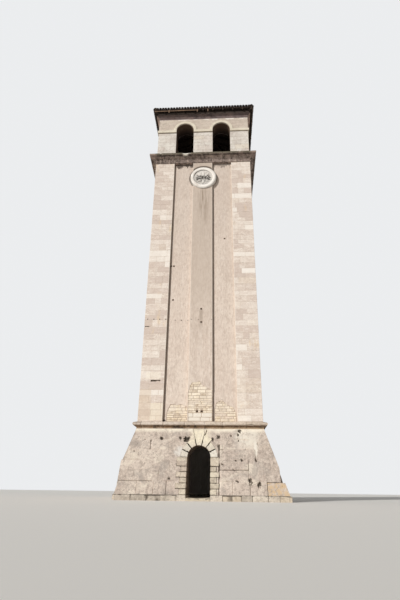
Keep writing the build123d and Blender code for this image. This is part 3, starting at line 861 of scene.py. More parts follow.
def corner_stones(rng, half, width, depth, levels, gap, turns):
    """Blocks round one corner: a quoin that alternates its long side, and one or two more on each face."""
    stones = []
    for course, (foot, head) in enumerate(zip(levels, levels[1:])):
        reach = [rng.uniform(0.62, 0.92) * width, rng.uniform(0.34, 0.52) * width]
        if course % 2:
            reach.reverse()
        foot += gap
        stones.append(((-half, -half, foot), (-half + reach[0], -half + reach[1], head), turns))
        for way, start in enumerate(reach):
            ends = [start, width]
            if width - start > 0.55 * width and rng.random() < 0.6:
                ends.insert(1, start + (width - start) * rng.uniform(0.4, 0.6))
            for a, b in zip(ends, ends[1:]):
                near, far = [-half, -half, foot], [-half + depth, -half + depth, head]
                near[way], far[way] = -half + a + gap, -half + b
                if b - a >= 0.03:
                    stones.append((near, far, turns))
    return stones


def nail_holes(mix, places, amount):
    """Dark spots painted as the shade in a row of nail holes that runs across the front, a little lower to
    the right.
    """
    for at in places:
        hole = mix.away(at, 9.39 - 0.014 * (at + 3)).band(0.05, 0.03) * mix.y.band(-3.0, -3.05)
        mix.paint((0.12, 0.09, 0.07), hole * amount)


renewed_blocks = ((-2.62, -1.97, 3.72, 4.62, (0.84, 0.745, 0.59), 0.6),
                  (-3.26, -2.62, 3.72, 5.35, (0.68, 0.545, 0.42), 0.5),
                  (-2.95, -2.15, 5.88, 6.28, (0.90, 0.82, 0.69), 0.45),
                  (2.02, 2.42, 3.72, 6.6, (0.90, 0.82, 0.715), 0.25),
                  (2.42, 3.26, 12.3, 12.65, (0.95, 0.90, 0.83), 0.75))


def ashlar_skin(mix):
    """Level bands as the stone lay in its bed, a few rusty runs, and a painted highlight along the inner
    arris.
    """
    beds = mix.cloud(4.5, 6, (2, 5, 7), 0.72, stretch=(0.6, 0.6, 2.0))
    mix.paint((0.60, 0.49, 0.42), beds.band(0.51, 0.64, 0, 0.55))
    mix.paint((0.92, 0.85, 0.77), beds.band(0.48, 0.36, 0, 0.55))
    crumbs = mix.cloud(17, 6, (5, 2, 3), 0.75, stretch=(0.6, 0.6, 1.5))
    mix.paint((0.55, 0.44, 0.37), crumbs.band(0.53, 0.66, 0, 0.5))
    mix.paint((0.93, 0.87, 0.80), crumbs.band(0.47, 0.36, 0, 0.5))
    tone = mix.lot(0)
    mix.paint((0.90, 0.825, 0.745), tone.band(0.50, 0.80, 0, 0.25))
    mix.paint((0.92, 0.865, 0.79), tone.band(0.88, 0.97, 0, 0.5))
    mix.paint((0.60, 0.49, 0.425), tone.band(0.45, 0.08, 0, 0.6))
    mix.paint((0.74, 0.55, 0.32), mix.cloud(2.1, 5, (9, 3, 6), stretch=(1, 1, 0.4)).band(0.60, 0.72, 0, 0.4))
    for left, right, foot, head, colour, amount in renewed_blocks:
        block = (mix.x.band(left, left + 0.01) * mix.x.band(right + 0.01, right) *
                 (mix.z.band(foot, foot + 0.01) * mix.z.band(head + 0.01, head)))
        mix.paint(colour, block * mix.y.band(-3.2, -3.22) * amount)
    nail_holes(mix, (-3.08, -2.72, -2.38, -2.03), 0.8)
    # Painted highlight: a pale line along the pilasters' inner arris, where the edge catches the light.
    mix.paint((0.88, 0.82, 0.74), mix.off_axis("MINIMUM").band(2.0, 1.96, 0, 0.5))


ashlar = stone_finish("ashlar", (0.775, 0.68, 0.595), (0.715, 0.605, 0.52), (0.59, 0.485, 0.41), pits=0.2,
                      grime=0.12, streaks=0.18, spread=0.35, patch_scale=1.3, mottle=0.8, extra=ashlar_skin)
mortar = stone_finish("mortar", (0.70, 0.60, 0.50), (0.60, 0.51, 0.42), (0.44, 0.37, 0.30), pits=0.2,
                      spread=0)
shaft_low, shaft_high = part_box("shaft_corner_pilasters")
shaft_half = shaft_high.x
pilaster_width, facing_depth = 1.3, 0.32
pilaster_rng = random.Random(31)
pilaster_stones = []
for turns in range(4):
    levels = course_levels(pilaster_rng, shaft_low.z, shaft_high.z, 0.28, 0.46)
    pilaster_stones += corner_stones(pilaster_rng, shaft_half, pilaster_width, facing_depth, levels, 0.007,
                                     turns)
face_slots = ((-2.84, -2.68, 5.82, 5.86), (-2.68, -2.38, 5.765, 5.86), (-2.38, -2.16, 5.80, 5.85),
              (-3.26, -3.12, 8.92, 8.97), (-3.12, -2.97, 8.94, 8.97))


def round_slot(stone, slot):
    """What is left of a stone round a slot that has broken out of its face."""
    (x0, y0, z0), (x1, y1, z1), turns = stone
    left, right, foot, head = slot
    if right <= x0 or left >= x1 or head <= z0 or foot >= z1 or turns or y0 > -shaft_half:
        return [stone]
    left, right = max(left, x0), min(right, x1)
    parts = (((x0, y0, z0), (x1, y1, foot)), ((x0, y0, head), (x1, y1, z1)),
             ((x0, y0, foot), (left, y1, head)), ((right, y0, foot), (x1, y1, head)))
    return [(low, high, turns) for low, high in parts if high[0] - low[0] > 0.03 and high[2] - low[2] > 0.02]


def slot_wear(place, normal):
    inside = any(x0 - 0.011 < place.x < x1 + 0.011 and z0 - 0.011 < place.z < z1 + 0.011
                 for x0, x1, z0, z1 in face_slots)
    return 0.10 if inside and normal.y < -0.9 else 0.010


for slot in face_slots:
    pilaster_stones = [part for stone in pilaster_stones for part in round_slot(stone, slot)]
for number, (low, high, turns) in enumerate(pilaster_stones):
    if lot_numbers(("pilaster_stones", number))[2] < 0.55:
        lots_known["pilaster_stones", number] = lot_numbers(("course", turns, round(low[2], 1)))
slot_places, slot_levels = (
    [at + off for slot in face_slots for at, off in zip(2 * slot[i:i + 2], (-0.03, 0.03, -0.01, 0.01))]
    for i in (0, 2))
core = worn_copy("shaft_corner_pilasters", lambda n, c: abs(n.z) < 0.1 and max(abs(c.x), abs(c.y)) > 3.0,
                 net(slot_places, slot_levels, "x"), slot_wear, mortar)
mesh = lay_stones("pilaster_stones", pilaster_stones, 0.007, 0.004, 32, [ashlar, mortar], core)
add_object("corner_pilaster_stones", mesh, "ashlar", "shaft_corner_pilasters")


# Middle strips and sunk panels: rubble walling under a smooth lime render, with long rain streaks. Low down
# in front it has fallen off in three patches and shows small coursed stones; some scaffold holes are open.
medal_low, medal_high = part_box("medallion_rim")
medal_x, medal_z = (medal_low.x + medal_high.x) / 2, (medal_low.z + medal_high.z) / 2


def smeared(mix, bare, covered):
    """Runs from bare to covered where lime mortar was smeared over the small stones."""
    return mix.cloud(2.3, 6, (6, 2, 8), 0.72, 0.6).band(0.47, 0.57, bare, covered)


def rain(mix):
    """Tall soft streaks, pale and dark, and the grey run under the medallion; dark drips with painted shadow
    under the cornice; painted shade in an arc round the medallion's upper left, in the shaded inner corners
    of the panels and in a hole low in a panel; and a painted highlight on the strip's arrises.
    """
    tall = mix.cloud(2.2, 6, (4, 1, 0), 0.62, stretch=(1, 1, 0.035))
    mix.paint((0.50, 0.41, 0.34), tall.band(0.48, 0.70, 0, 0.22))
    pale = mix.cloud(3.1, 5, (8, 2, 5), stretch=(1, 1, 0.05))
    mix.paint((0.76, 0.67, 0.59), pale.band(0.53, 0.72, 0, 0.4))
    thin = mix.cloud(11, 5, (3, 3, 1), 0.7, stretch=(1, 1, 0.3))
    mix.paint((0.48, 0.38, 0.31), thin.band(0.50, 0.64, 0, 0.45))
    mix.paint((0.86, 0.77, 0.68), thin.band(0.48, 0.37, 0, 0.4))
    mix.paint((0.50, 0.42, 0.36), mix.z.band(8.0, 20.5, 0, 0.30))
    on_front = mix.y.band(-3.0, -3.05)
    on_strip = on_front * mix.y.band(-3.15, -3.2)
    on_panels = on_front * mix.y.band(-3.15, -3.12)
    mix.paint((0.50, 0.41, 0.335), on_strip * mix.z.band(6.5, 12.0, 0, 0.55))
    below_round = mix.z.band(18.9, 18.5) * mix.z.band(14.0, 18.4) * abs(mix.x - 0.08).band(0.5, 0.1)
    runs = mix.cloud(8.5, 6, (1, 7, 3), 0.6, stretch=(1, 1, 0.06)).band(0.46, 0.58, 0.1, 1)
    mix.paint((0.29, 0.22, 0.165), below_round * (on_strip * runs) * 0.72)
    under_hole = mix.z.band(8.2, 9.7) * mix.z.band(10.02, 9.98) * abs(mix.x - 0.005).band(0.14, 0.04)
    mix.paint((0.36, 0.285, 0.225), on_strip * under_hole * 0.6)
    nail_holes(mix, (-1.49, -0.765, -0.55, -0.15, 0.6), 0.5)
    nail_holes(mix, (-1.14,), 0.9)
    # Dark drips and painted shadow: the panels are darkened just under the cornice, with a ragged lower
    # edge, where its shadow falls.
    ragged = mix.z + mix.cloud(7, 7, rough=0.7, stretch=(1, 1, 0.3)) * 1.4
    drips_and_cornice_shadow = ragged.band(21.43, 21.50) * mix.y.band(-3.15, -3.12) * mix.x.band(0.5, -0.5, 0.6, 0.97)
    mix.paint((0.11, 0.085, 0.07), on_front * drips_and_cornice_shadow)
    # Painted shade: a dark arc round the medallion, strongest at its upper left, for the shaded joint round
    # the stone.
    ring = mix.away(medal_x, medal_z + 0.10).band(0.985, 0.945)
    lean = (mix.z - (medal_z + 0.10)) - (mix.x - medal_x) * 0.6
    mix.paint((0.13, 0.10, 0.075), on_front * (ring * lean.band(0.1, 0.5, 0.6, 1)) * 0.9)
    # Painted highlight: a pale line on the strip's edges where they catch the light.
    mix.paint((0.88, 0.80, 0.71), on_strip * abs(mix.x).band(0.615, 0.64) * 0.55)
    # Painted shade: the panels darkened beside the pilaster and the strip, on the side the light does not
    # reach.
    middle_shaded_angle = mix.x.band(0.64, 0.66) * mix.x.band(0.76, 0.72)
    shaded_angles = mix.x.band(-1.84, -1.88).joined(middle_shaded_angle, "MAXIMUM")
    mix.paint((0.30, 0.235, 0.19), on_panels * shaded_angles * 0.75)
    # Painted shade: a black spot for a hole low in the corner of the left panel.
    mix.paint((0.05, 0.04, 0.032), on_panels * mix.away(-1.87, 3.72).band(0.10, 0.06) * 0.9)
    strip_patch = mix.y.band(-3.238, -3.232) * mix.y.band(-3.19, -3.20)
    in_patch = strip_patch.joined(mix.y.band(-3.088, -3.082) * mix.y.band(-3.04, -3.05), "MAXIMUM")
    mix.paint((0.44, 0.345, 0.255), in_patch * mix.z.band(5.95, 5.9) * smeared(mix, 0.92, 0.35))


render_coat = stone_finish("render_coat", (0.745, 0.635, 0.545), (0.685, 0.57, 0.485), (0.58, 0.475, 0.40),
                           pits=0.15, grime=0.10, spread=0, grain=0.003, patch_scale=0.35, mottle=0.5,
                           extra=rain)
for name in ("strip", "panels"):
    for side in side_normals:
        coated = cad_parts["shaft_%s_%s" % (name, side)].data
        coated.materials.clear()
        coated.materials.append(render_coat)

patch_outlines = {
    "strip": (-3.25, ((-0.60, 3.68), (-0.64, 4.52), (-0.63, 5.25), (-0.54, 5.54), (-0.42, 5.72),
                      (-0.23, 5.72), (-0.01, 5.79), (0.07, 5.60), (0.37, 5.44), (0.65, 5.25), (0.65, 3.68))),
    "left": (-3.10, ((-1.77, 3.68), (-1.75, 4.18), (-1.63, 4.47), (-1.57, 4.59), (-1.39, 4.59),
                     (-1.22, 4.53), (-1.01, 4.58), (-0.65, 4.44), (-0.65, 3.68))),
    "right": (-3.10, ((0.76, 3.68), (0.76, 4.34), (0.86, 4.66), (1.01, 4.75), (1.17, 4.84), (1.26, 4.70),
                      (1.47, 4.55), (1.73, 4.44), (1.90, 4.14), (1.92, 3.68))),
}


def outline_span(outline, z):
    """The first and last x at which a level line crosses an outline."""
    crossings = []
    for (x0, z0), (x1, z1) in zip(outline, outline[1:] + outline[:1]):
        if (z0 - z) * (z1 - z) < 0:
            crossings.append(x0 + (x1 - x0) * (z - z0) / (z1 - z0))
    return (min(crossings), max(crossings)) if crossings else None


patch_rng = random.Random(43)
patch_stones = []
for name, (face, outline) in patch_outlines.items():
    z = 3.685
    while z < 5.8:
        limed_foot = name == "strip" and z <= 4.1
        tall = patch_rng.uniform(0.2, 0.24) if limed_foot else patch_rng.uniform(0.08, 0.17)
        span = outline_span(outline, z + tall * 0.55)
        x = span[0] + 0.01 if span else 0
        while span and x < span[1] - 0.05:
            end = min(x + patch_rng.uniform(0.15, 0.50) * (1.6 if tall > 0.19 else 1), span[1] - 0.008)
            pieces = [(x, end - 0.014)]
            for hole in (-0.15, 0.10) if name == "strip" and z < 4.26 and z + tall > 4.14 else ():
                pieces = [part for a, b in pieces
                          for part in ((a, min(b, hole - 0.06)), (max(a, hole + 0.06), b))]
            for a, b in pieces:
                if b - a > 0.05:
                    front = face + patch_rng.uniform(0.001, 0.020)
                    if limed_foot:
                        lots_known["rubble_patches", len(patch_stones)] = (0.9, 0.5, 1.0)
                    patch_stones.append(((a, front, z + 0.014), (b, face + 0.06, z + tall), 0))
            x = end
        z += tall


def limed(mix):
    """Mortar smears; the lowest stones of the strip still hold a wash of white lime."""
    mix.paint((0.80, 0.70, 0.585), smeared(mix, 0, 0.7))
    mix.paint((0.80, 0.735, 0.65), mix.lot(2).band(0.99, 1.0, 0, 0.75))


rubble = stone_finish("rubble", (0.93, 0.83, 0.68), (0.82, 0.695, 0.53), (0.52, 0.415, 0.31), pits=0.5,
                      spread=0.85, patch_scale=1.6, mottle=0.5, extra=limed)
mesh = lay_stones("rubble_patches", patch_stones, 0.011, 0.006, 44, [rubble])
add_object("rubble_patches", mesh, "render")


# Medallion: a round stone let into the strip, with a rounded rim, a fillet and a plain rosette of leaves.
# Weather has softened the carving, and its hollows are painted dark, dirt and painted shade together.
medal_radius = (medal_high.x - medal_low.x) / 2
medal_field, medal_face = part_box("medallion_relief")[1].y, medal_low.y
field_radius = 0.6
petals = 8
petal_step = 2 * math.pi / petals


def hollow_dirt(mix):
    # Dirt and painted shade: the carving is darkened where the mesh marks it as hollow or shaded.
    mix.paint((0.045, 0.037, 0.03), mix.mark("hollow") * 0.95)


carved_stone = stone_finish("carved_stone", (0.95, 0.90, 0.84), (0.90, 0.845, 0.78), (0.66, 0.58, 0.51),
                            grime=0.2, spread=0, mottle=0.3, extra=hollow_dirt)


def carve_disc(name, radii, sectors, height, hollow, node):
    """A round carved face: rings of corners about the medallion's middle, as high as the carving there."""
    verts, faces, marks = [], [], []
    for ring, radius in enumerate(radii):
        for sector in range(sectors):
            turn = 2 * math.pi * sector / sectors
            x, z = medal_x + radius * math.cos(turn), medal_z + radius * math.sin(turn)
            verts.append((x, height(radius, turn), z))
            marks.append(hollow(radius, turn))
            if ring:
                a, b = (ring - 1) * sectors + sector, (ring - 1) * sectors + (sector + 1) % sectors
                faces.append((a, b, b + sectors, a + sectors))
    faces.append(tuple(range(sectors))[::-1])
    faces.append(tuple(range((len(radii) - 1) * sectors, len(radii) * sectors)))
    mesh = joined_mesh(name, [(verts, faces, name)], [carved_stone])
    mark = mesh.attributes.new("hollow", "FLOAT", "POINT")
    mark.data.foreach_set("value", marks)
    for face in mesh.polygons:
        face.use_smooth = len(face.vertices) == 4
    add_object(name, mesh, "carved_stone", node)


def rim_share(radius):
    """0 at the rim's outer edge, 1 at the field."""
    return (medal_radius - radius) / rim_width


rim_width = medal_radius - field_radius
rim_radii = [0.02, field_radius] + [medal_radius - rim_width * i / 34 for i in range(33, -1, -1)]
rim_back = medal_radius - 0.0001


def rim_height(radius, turn):
    """Profile of the rim: a low outer fillet, one broad cushion, and a quirk round the field."""
    if radius in (rim_radii[0], rim_back):
        return medal_high.y if radius == rim_back else medal_field
    share = rim_share(radius)
    if share < 0.12:
        proud = 0.30 + 0.15 * share / 0.12
    elif share < 0.86:
        proud = 0.55 + 0.45 * (1 - abs(2 * (share - 0.12) / 0.74 - 1) ** 3.2)
    else:
        proud = 0.50 - 0.47 * min(1, (share - 0.86) / 0.07)
    wear = 0.006 * noise.noise((radius * 9, turn * 6, 2))
    return medal_field + (medal_face - medal_field) * proud + wear + 0.004


def rim_hollow(radius, turn):
    """Painted shade on the outer fillet and in the quirk round the field, strongest towards the upper left;
    faint dirt on the rest of the rim.
    """
    share = rim_share(radius)
    # The painted shade grows towards the upper left, at a turn of 2.35 radians.
    weather = 0.7 * max(0, math.cos(turn - 2.35)) ** 0.6
    if share < 0.13:
        return min(1, 0.30 + weather)
    if share > 0.86:
        return min(1, 0.40 + weather)
    return 0.05 * abs(noise.noise((radius * 20, turn * 12, 4)))


def petal_shape(radius, turn):
    """How far a place lies inside a leaf, from 0 at its edge to 1 on its rib, and how far along it."""
    offset = (turn + petal_step / 2) % petal_step - petal_step / 2
    along = (radius - 0.10) / 0.44
    if not 0 < along < 1:
        return 0, along
    half = 0.105 * math.sin(math.pi * along ** 0.85) ** 0.7
    return max(0, 1 - abs(radius * math.sin(offset)) / max(half, 0.001)), along


def relief_height(radius, turn):
    """A ribbed boss, eight veined leaves round it, and a bead between the tips of each two."""
    depth = 0.0
    if radius < 0.125:
        depth = 0.070 * math.sqrt(1 - (radius / 0.13) ** 2)
        depth += 0.008 * math.sin(turn * 12) * min(1, radius / 0.1)
    inside, along = petal_shape(radius, turn)
    if inside:
        lift = 0.045 * min(1, inside * 2.5) ** 0.6 * (0.65 + 0.35 * math.sin(math.pi * along))
        lift -= 0.012 * math.exp(-((inside - 1) / 0.10) ** 2)
        lift -= 0.006 * max(0, math.cos(along * 40)) * (1 - inside)
        depth = max(depth, lift)
    between = abs(turn % petal_step - petal_step / 2) * radius
    bead = 1 - (between / 0.05) ** 2 - ((radius - 0.43) / 0.09) ** 2
    if 0.33 < radius < 0.53 and bead > 0:
        depth = max(depth, 0.030 * bead ** 0.5)
    return medal_field - depth - 0.004 * noise.noise((radius * 14, turn * 9, 1)) - 0.002


def relief_hollow(radius, turn):
    """Dirt and painted shade: light on the whole field, darker along the leaf edges, black in the hollows of
    a level band across its middle.
    """
    across, up = radius * math.cos(turn), radius * math.sin(turn)
    inside, along = petal_shape(radius, turn)
    edge = math.exp(-((inside - 0.04) / 0.14) ** 2) if inside else 0.35
    blotch = 0.30 + 1.1 * noise.noise((across * 9, up * 17, 9))
    middle = math.exp(-((up + 0.03) / 0.15) ** 2) * clamp((0.54 - abs(across)) / 0.1)
    speck = max(0, noise.noise((across * 26, up * 26, 3))) if up < -0.1 else 0
    return min(1, 0.16 + 0.34 * edge + middle * max(0, 0.5 + edge) * max(0.1, blotch) * 5 + 1.6 * speck)


carve_disc("medallion_rim_carved", rim_radii + [rim_back], 128, rim_height, rim_hollow, "medallion_rim")
relief_radii = [0.004 + 0.615 * i / 70 for i in range(71)]
carve_disc("medallion_rosette", relief_radii, 240, relief_height, relief_hollow, "medallion_relief")


# Cornice under the belfry: long moulded stones, black and brown with crust under the drip, green on the top
# edge. One bit of the top edge has broken away and shows fresh white stone.
cornice_top = 21.63
cornice_joints = ring_joints(52, -3.6, 3.5, 0.8, 1.25)
cornice_chips = ((-1.17, 21.57, 0.19), (-0.90, 21.61, 0.09), (2.55, 21.62, 0.04), (-2.9, 21.61, 0.05))
cornice_soft = moulded_wear(cornice_joints, 0.45, 0.025)


def cornice_wear(place, normal):
    depth = cornice_soft(place, normal)
    if place.y < -3.3:
        for x, z, radius in cornice_chips:
            depth = max(depth, 0.07 * groove(math.hypot(place.x - x, place.z - z), radius * 1.5))
    return depth


def cornice_crust(mix):
    """Green growth on the fascia, black drips and dark lines below it, pinkish stone at the corners."""
    up = mix.z - cornice_top
    mix.paint((0.09, 0.08, 0.05), up.band(-0.20, -0.13, 0, 0.88))
    mix.paint((0.05, 0.04, 0.033), up.band(-0.23, -0.20) * up.band(-0.16, -0.19, 0, 0.8))
    mix.paint((0.24, 0.22, 0.14), up.band(-0.055, -0.02) * mix.cloud(3, 5).band(0.4, 0.6, 0, 0.6))
    mix.paint((0.13, 0.10, 0.088), up.band(-0.30, -0.41, 0, 0.35))
    drips = mix.cloud(5.5, 6, (6, 3, 2), 0.72, stretch=(1, 1, 0.09))
    below = up.band(-0.13, -0.19)
    mix.paint((0.065, 0.05, 0.042), drips.band(0.51, 0.62, 0, 0.75) * below)
    mix.paint((0.56, 0.46, 0.38), drips.band(0.47, 0.35, 0, 0.75) * below)
    mix.paint((0.42, 0.31, 0.265), mix.cloud(2.6, 4, (3, 3, 7)).band(0.55, 0.70, 0, 0.55))
    mix.paint((0.46, 0.345, 0.30), mix.off_axis("MINIMUM").band(3.15, 3.4, 0, 0.5))
    mix.paint((0.80, 0.75, 0.66), mix.mark("fresh"))


cornice_stone = stone_finish("cornice_stone", (0.46, 0.36, 0.31), (0.29, 0.225, 0.19), (0.12, 0.09, 0.075),
                             grime=0.4, streaks=0.3, spread=0.6, stain=(0.06, 0.048, 0.04), mottle=0.9,
                             extra=cornice_crust)
for mesh in weathered_ring("cornice", "cornice_stone", cornice_stone,
                           evenly(-3.66, 3.66, 0.06) + beside(cornice_joints, 0.015),
                           [21.485, 21.515, 21.545, 21.57, 21.60], cornice_wear,
                           moulded_lot("cornice", cornice_joints),
                           lambda n, c: outward(n, c) or (n.z > 0.9 and max(abs(c.x), abs(c.y)) > 2.0)):
    fresh = mesh.attributes.new("fresh", "FLOAT", "POINT")
    for mark, vert in zip(fresh.data, mesh.vertices):
        if vert.co.y < -3.5:
            mark.value = max(clamp(2.2 * (1 - math.hypot(vert.co.x - x, vert.co.z - z) / (radius * 1.3)))
                             for x, z, radius in cornice_chips[:2])


# Belfry: piers of clean cream ashlar on a low sill, two round arches on every side, and a board floor.
# The wall over the arches is a shade darker, and a pale band runs at impost level and round each arch.
band_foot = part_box("arch_bands_front_back")[0].z
wall_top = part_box("belfry_arches_front_back")[1].z
pier_low, pier_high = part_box("belfry_corner_piers")
belfry_half = pier_high.x
pier_width, middle_width, wall_depth = 1.3, 1.36, 1.0
bed_gap = 0.006


def shelter(mix):
    """Painted shadow in a thin dark line under the band, brown dampness and painted shade in the openings,
    near-black painted shade deeper in, and pale inner walls.
    """
    up = mix.z - band_foot
    # Painted shadow: a thin dark line just under the band, where it shades the wall.
    mix.paint((0.14, 0.095, 0.07), up.band(-0.085, -0.03) * up.band(0.02, 0.01) * 0.9)
    out = mix.off_axis("MAXIMUM")
    # Dampness and painted shade: the reveals and soffits of the openings are darkened from just inside the
    # face.
    damp_and_shade = mix.cloud(3, 5, (5, 5, 2)).band(0.2, 0.5, 0.88, 0.98)
    mix.paint((0.115, 0.07, 0.045), out.band(3.205, 3.16) * damp_and_shade)
    # Painted shade: nearly black further inside the openings, above the springing.
    mix.paint((0.03, 0.02, 0.016), out.band(3.0, 2.3) * mix.z.band(24.0, 24.3, 0, 0.9))
    mix.paint((0.56, 0.48, 0.44), out.band(2.234, 2.228))


def limed_top(mix):
    """White lime left along the top of the wall, under the ragged edge of the cove."""
    up = mix.z - wall_top
    ragged = up + mix.cloud(1.7, 5, (2, 6, 6), 0.65) * 0.8
    mix.paint((0.90, 0.84, 0.76), ragged.band(0.33, 0.40) * up.band(-0.22, -0.12) * 0.85)
    shelter(mix)


belfry_stone = stone_finish("belfry_stone", (0.775, 0.725, 0.655), (0.67, 0.61, 0.545), (0.52, 0.455, 0.40),
                            pits=0.15, grime=0.15, streaks=0.15, spread=0.35, patch_scale=1.2, mottle=0.6,
                            extra=shelter)
wall_stone = stone_finish("arch_wall_stone", (0.66, 0.57, 0.48), (0.575, 0.485, 0.405), (0.44, 0.365, 0.30),
                          pits=0.2, grime=0.25, streaks=0.25, spread=0.25, mottle=0.5, extra=limed_top)
belfry_mortar = stone_finish("belfry_mortar", (0.62, 0.55, 0.46), (0.54, 0.47, 0.39), (0.40, 0.34, 0.28),
                             spread=0, extra=shelter)
pier_rng = random.Random(61)
pier_stones, middle_stones = [], []
for turns in range(4):
    levels = course_levels(pier_rng, pier_low.z, pier_high.z, 0.30, 0.46)
    pier_stones += corner_stones(pier_rng, belfry_half, pier_width, wall_depth, levels, bed_gap, turns)
for turns in range(4):
    levels = course_levels(pier_rng, pier_low.z, pier_high.z, 0.30, 0.46)
    for foot, head in zip(levels, levels[1:]):
        split = middle_width * (pier_rng.uniform(0.35, 0.65) - 0.5)
        for x0, x1 in ((-middle_width / 2, split - 0.003), (split + 0.003, middle_width / 2)):
            near, far = (x0, -belfry_half, foot + bed_gap), (x1, -belfry_half + wall_depth, head)
            middle_stones.append((near, far, turns))
for which, name, stones, seed in (("corner", "pier_stones", pier_stones, 62),
                                  ("middle", "middle_stones", middle_stones, 63)):
    node = "belfry_%s_piers" % which
    core = worn_copy(node, lambda n, c: abs(n.z) < 0.1, [], lambda p, n: 0.010, belfry_mortar)
    mesh = lay_stones(name, stones, 0.006, 0.003, seed, [belfry_stone, belfry_mortar], core)
    add_object("belfry_%s_stones" % which, mesh, "belfry_stone", node)
sill_joints = ring_joints(64, -3.2, 3.1, 0.7, 1.2)
weathered_ring("belfry_sill", "belfry_stone", belfry_stone,
               evenly(-3.2, 3.2, 0.12) + beside(sill_joints, 0.015), [],
               moulded_wear(sill_joints, 0.3, 0.012), moulded_lot("sill", sill_joints),
               lambda n, c: outward(n, c) or n.z > 0.9)

arch_foot, arch_course, arch_shift = 24.14, 0.27, 0.21
arch_levels = [arch_foot + arch_course * i for i in range(1, 5)]
arch_joints = ring_joints(65, -3.1, 3.1, 0.5, 0.9)


def arch_wall_place(place):
    """The course that a place is in, and its distance along that course's joints."""
    course = int((place.z - arch_foot) / arch_course)
    return course, along_wall(place) + arch_shift * (course % 3)


def arch_wall_wear(place, normal):
    course, x = arch_wall_place(place)
    seam = min(abs(place.z - level) for level in arch_levels)
    seam = min(seam, min(abs(x - at) for at in arch_joints))
    return max(0.002 + 0.005 * abs(bumps(place, 4)), 0.010 * groove(seam, 0.012))


def arch_wall_lot(centre, normal):
    course, x = arch_wall_place(centre)
    return ("arch", side_of(centre), course, sum(at < x for at in arch_joints))


arch_places = beside([at - arch_shift * course for at in arch_joints for course in range(3)], 0.011)
band_stone = stone_finish("band_stone", (0.78, 0.71, 0.58), (0.71, 0.635, 0.51), (0.54, 0.46, 0.37),
                          pits=0.1, grime=0.15, spread=0)
weathered_ring("belfry_arches", "belfry_stone", wall_stone, arch_places, beside(arch_levels, 0.011),
               arch_wall_wear, arch_wall_lot)
for node in ("arch_bands_front_back", "arch_bands_sides"):
    add_object(node + "_stones", rounded_copy(node, 0.010, 0.004, band_stone, 40), "band_stone", node)


def timber_finish(name, light, dark, stretch):
    """Old bare timber: long grain, checks, and a tone of its own for each piece."""
    mix = Finish(name, 0.8, dark)
    fibre = mix.cloud(26, 6, rough=0.65, warp=0.4, stretch=stretch)
    mix.paint(light, fibre.band(0.35, 0.7))
    mix.paint(dark, mix.cloud(1.6, 4, (5, 1, 2)).band(0.45, 0.7, 0, 0.6))
    mix.paint(light, mix.lot(0).band(0.6, 1, 0, 0.4))
    checks = mix.cloud(60, 2, (1, 9, 4), stretch=stretch).band(0.66, 0.72)
    mix.paint((0.02, 0.015, 0.01), checks * 0.7)
    mix.relief(fibre, 0.004, 0.6)
    mix.relief(checks.band(0, 1, 1, 0), 0.006, 0.7)
    return mix.done()


floor_timber = timber_finish("floor_timber", (0.30, 0.23, 0.16), (0.14, 0.10, 0.07), (0.06, 1, 1))
low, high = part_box("belfry_floor")
board_foot = high.z - 0.045
board_rng = random.Random(66)
boards, at = [], low.y
while at < high.y - 0.02:
    end = min(high.y, at + board_rng.uniform(0.17, 0.24))
    split = board_rng.uniform(-1.6, 1.6)
    for x0, x1 in ((low.x, split - 0.002), (split + 0.002, high.x)):
        boards.append(((x0, at + 0.003, board_foot), (x1, end - 0.003, high.z), 0))
    at = end
for joist in range(9):
    x = low.x + 0.25 + joist * (high.x - low.x - 0.5) / 8
    boards.append(((x - 0.07, low.y, low.z), (x + 0.07, high.y, board_foot), 0))
mesh = lay_stones("belfry_floor_boards", boards, 0.004, 0.001, 67, [floor_timber])
add_object("belfry_floor_boards", mesh, "floor_timber", "belfry_floor")


# Cove under the eaves: plaster on a hollow curve that carries the eaves out over the wall. It is stained
# purple brown by damp and soot, and its lower edge is ragged.
cove_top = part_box("eaves_cove_sides")[1].z


def cove_soot(mix):
    """Soot in clouds, painted shade along the top under the eaves, and paler plaster on the sides and the
    back.
    """
    soot = mix.cloud(2.4, 6, (4, 4, 4), 0.65, stretch=(1, 1, 0.5))
    mix.paint((0.045, 0.033, 0.033), soot.band(0.48, 0.68, 0, 0.75))
    mix.paint((0.30, 0.20, 0.175), mix.cloud(3.3, 4, (1, 2, 6)).band(0.54, 0.7, 0, 0.45))
    # Painted shade: the top of the cove darkened, with a ragged edge, where the eaves shade it.
    ragged = mix.z + mix.cloud(5, 6, (7, 1, 1), 0.7) * 0.3
    mix.paint((0.035, 0.026, 0.024), ragged.band(cove_top + 0.02, cove_top + 0.13, 0, 0.25))
    off_front = mix.off_axis("SUBTRACT").band(0.0, 0.05).joined(mix.y.band(1.0, 3.3), "MAXIMUM")
    patches = mix.cloud(1.6, 5, (5, 1, 1), 0.65).band(0.40, 0.60, 0.9, 0.45)
    mix.paint((0.70, 0.51, 0.415), off_front * patches)


def cove_wear(place, normal):
    return 0.002 + 0.012 * abs(bumps(place, 4)) + 0.02 * max(0, bumps(place, 9) - 0.3)


cove_plaster = stone_finish("cove_plaster", (0.23, 0.17, 0.155), (0.155, 0.118, 0.113), (0.08, 0.06, 0.057),
                            pits=0.2, grime=0.2, spread=0, stain=(0.03, 0.02, 0.02), extra=cove_soot)
weathered_ring("eaves_cove", "cove_plaster", cove_plaster, evenly(-3.42, 3.45, 0.09), [], cove_wear,
               ending="_plaster")


